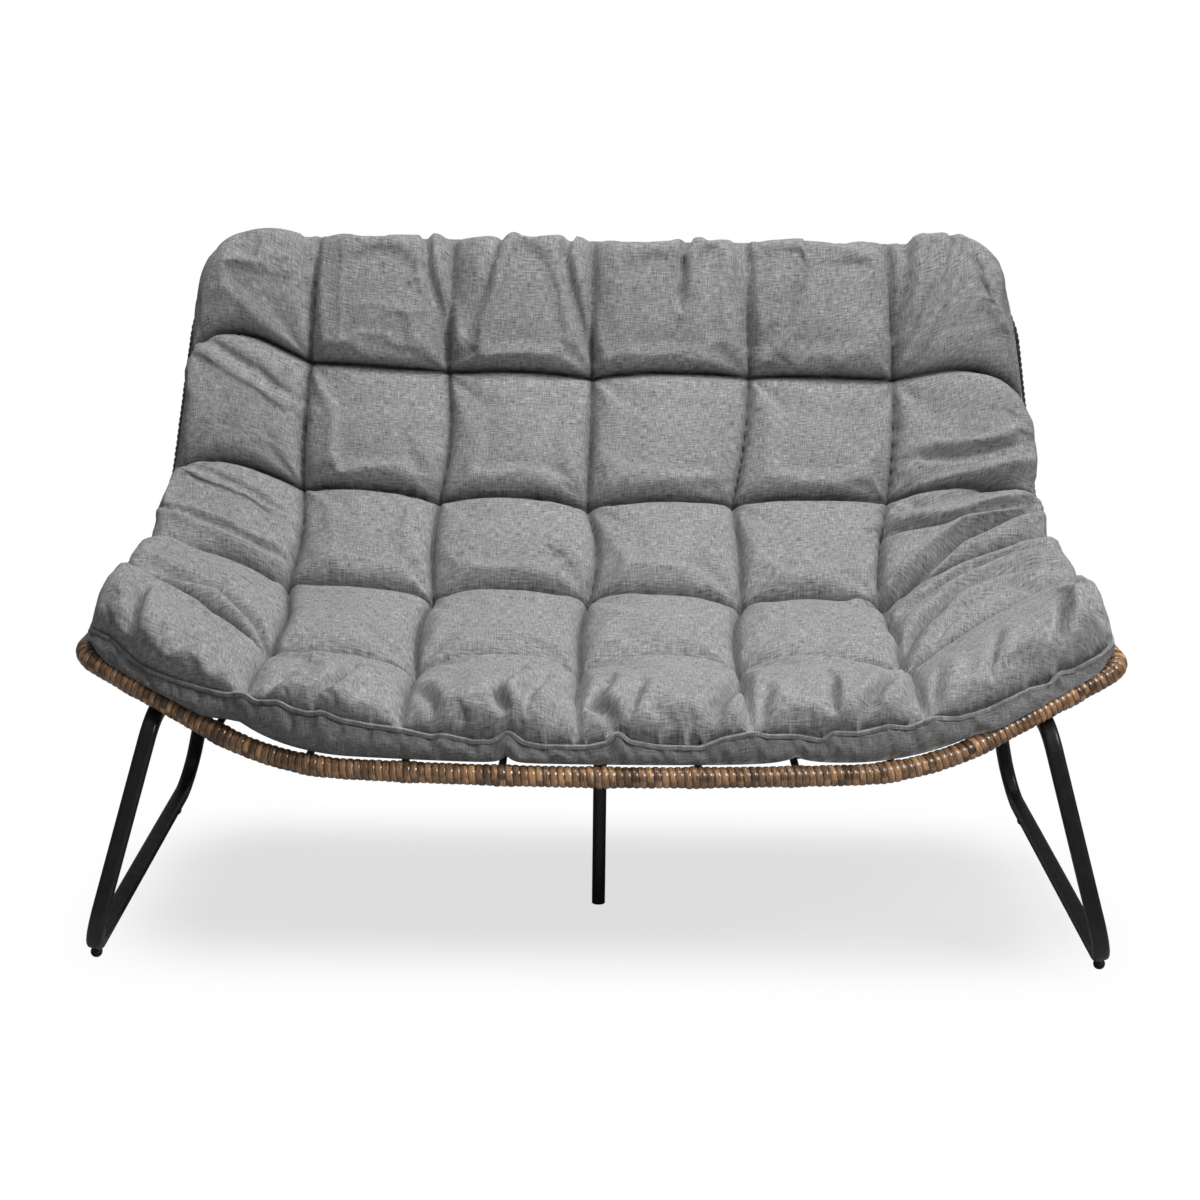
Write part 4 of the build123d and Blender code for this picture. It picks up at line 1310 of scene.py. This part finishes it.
class CHAIR_OT_weave_panels(bpy.types.Operator):
    """Weave the seat and back panels through the rods"""

    bl_idname = "chair.weave_panels"
    bl_label = "Weave the panels"

    def execute(self, context):
        rattan = context.scene.chair_rattan
        dark = bpy.data.materials["dark_rattan"]
        middle = Profile(0.0)
        bend = (middle.seat_length + middle.arc_length / 2 - WEAVE_SETBACK) / (
            middle.length - WEAVE_SETBACK
        )
        for name, node, low, high, seed in (
            ("seat_panel_rows", "seat_weave", 0.0, bend, 6),
            ("back_panel_rows", "back_weave", bend, 1.0, 7),
        ):
            rows = woven_rows(name, rattan, low, high, seed)
            rows.data.materials.append(dark)
            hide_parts(node)
            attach(rows, "frame")
        return {"FINISHED"}


class CHAIR_OT_make_cushion(bpy.types.Operator):
    """Sew, fill and tack the cushion"""

    bl_idname = "chair.make_cushion"
    bl_label = "Make the cushion"

    def execute(self, context):
        colours = context.scene.chair_finishes
        cover, seam_line, outward, tacks = make_cover(context.scene.chair_cushion)
        linen = heathered_linen(colours.linen)
        cover.data.materials.append(linen)
        lips = make_seam(seam_line, outward)
        lips.data.materials.append(linen)
        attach(lips, "cushion")
        threads = make_tacks(tacks)
        threads.data.materials.append(sewing_thread(shade(colours.linen, 0.6)))
        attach(threads, "cushion")
        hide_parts("cushion")
        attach(cover, "cushion")
        return {"FINISHED"}


class CHAIR_OT_set_stage(bpy.types.Operator):
    """Set the floor, the lamps and the camera"""

    bl_idname = "chair.set_stage"
    bl_label = "Set the stage"

    def execute(self, context):
        scene = context.scene
        stage = scene.chair_stage
        scene.view_settings.view_transform = "Standard"
        reach = 30.0
        corners = [(-reach, -reach, 0), (reach, -reach, 0), (reach, reach, 0), (-reach, reach, 0)]
        floor = new_object("floor", corners, [(0, 1, 2, 3)])
        floor.data.materials.append(pale_floor())
        scene.world = studio_world(stage.soft_light)
        for lamp in LAMPS:
            scene.collection.objects.link(make_lamp(*lamp))
        camera = make_camera(stage)
        scene.collection.objects.link(camera)
        scene.camera = camera
        return {"FINISHED"}


class CHAIR_PT_panel(bpy.types.Panel):
    bl_label = "Double papasan chair"
    bl_idname = "CHAIR_PT_panel"
    bl_space_type = "VIEW_3D"
    bl_region_type = "UI"
    bl_category = "Chair"

    def draw(self, context):
        for group in GROUPS:
            box = self.layout.box()
            settings = getattr(context.scene, group)
            for name in settings.bl_rna.properties.keys():
                if name not in ("rna_type", "name"):
                    box.prop(settings, name)
        for operator in OPERATORS:
            self.layout.operator(operator.bl_idname)


GROUPS = {
    "chair_finishes": ChairFinishes,
    "chair_rattan": ChairRattan,
    "chair_cushion": ChairCushion,
    "chair_stage": ChairStage,
}
OPERATORS = (
    CHAIR_OT_finish_frame,
    CHAIR_OT_wind_rims,
    CHAIR_OT_weave_panels,
    CHAIR_OT_make_cushion,
    CHAIR_OT_set_stage,
)


def register():
    for group in GROUPS.values():
        bpy.utils.register_class(group)
    for name, group in GROUPS.items():
        setattr(bpy.types.Scene, name, PointerProperty(type=group))
    for made in (*OPERATORS, CHAIR_PT_panel):
        bpy.utils.register_class(made)


def unregister():
    for made in reversed((*OPERATORS, CHAIR_PT_panel)):
        bpy.utils.unregister_class(made)
    for name in GROUPS:
        delattr(bpy.types.Scene, name)
    for group in reversed(GROUPS.values()):
        bpy.utils.unregister_class(group)


def main():
    register()
    bpy.ops.chair.set_stage()
    bpy.ops.chair.finish_frame()
    bpy.ops.chair.wind_rims()
    bpy.ops.chair.weave_panels()
    bpy.ops.chair.make_cushion()


if __name__ == "__main__":
    main()
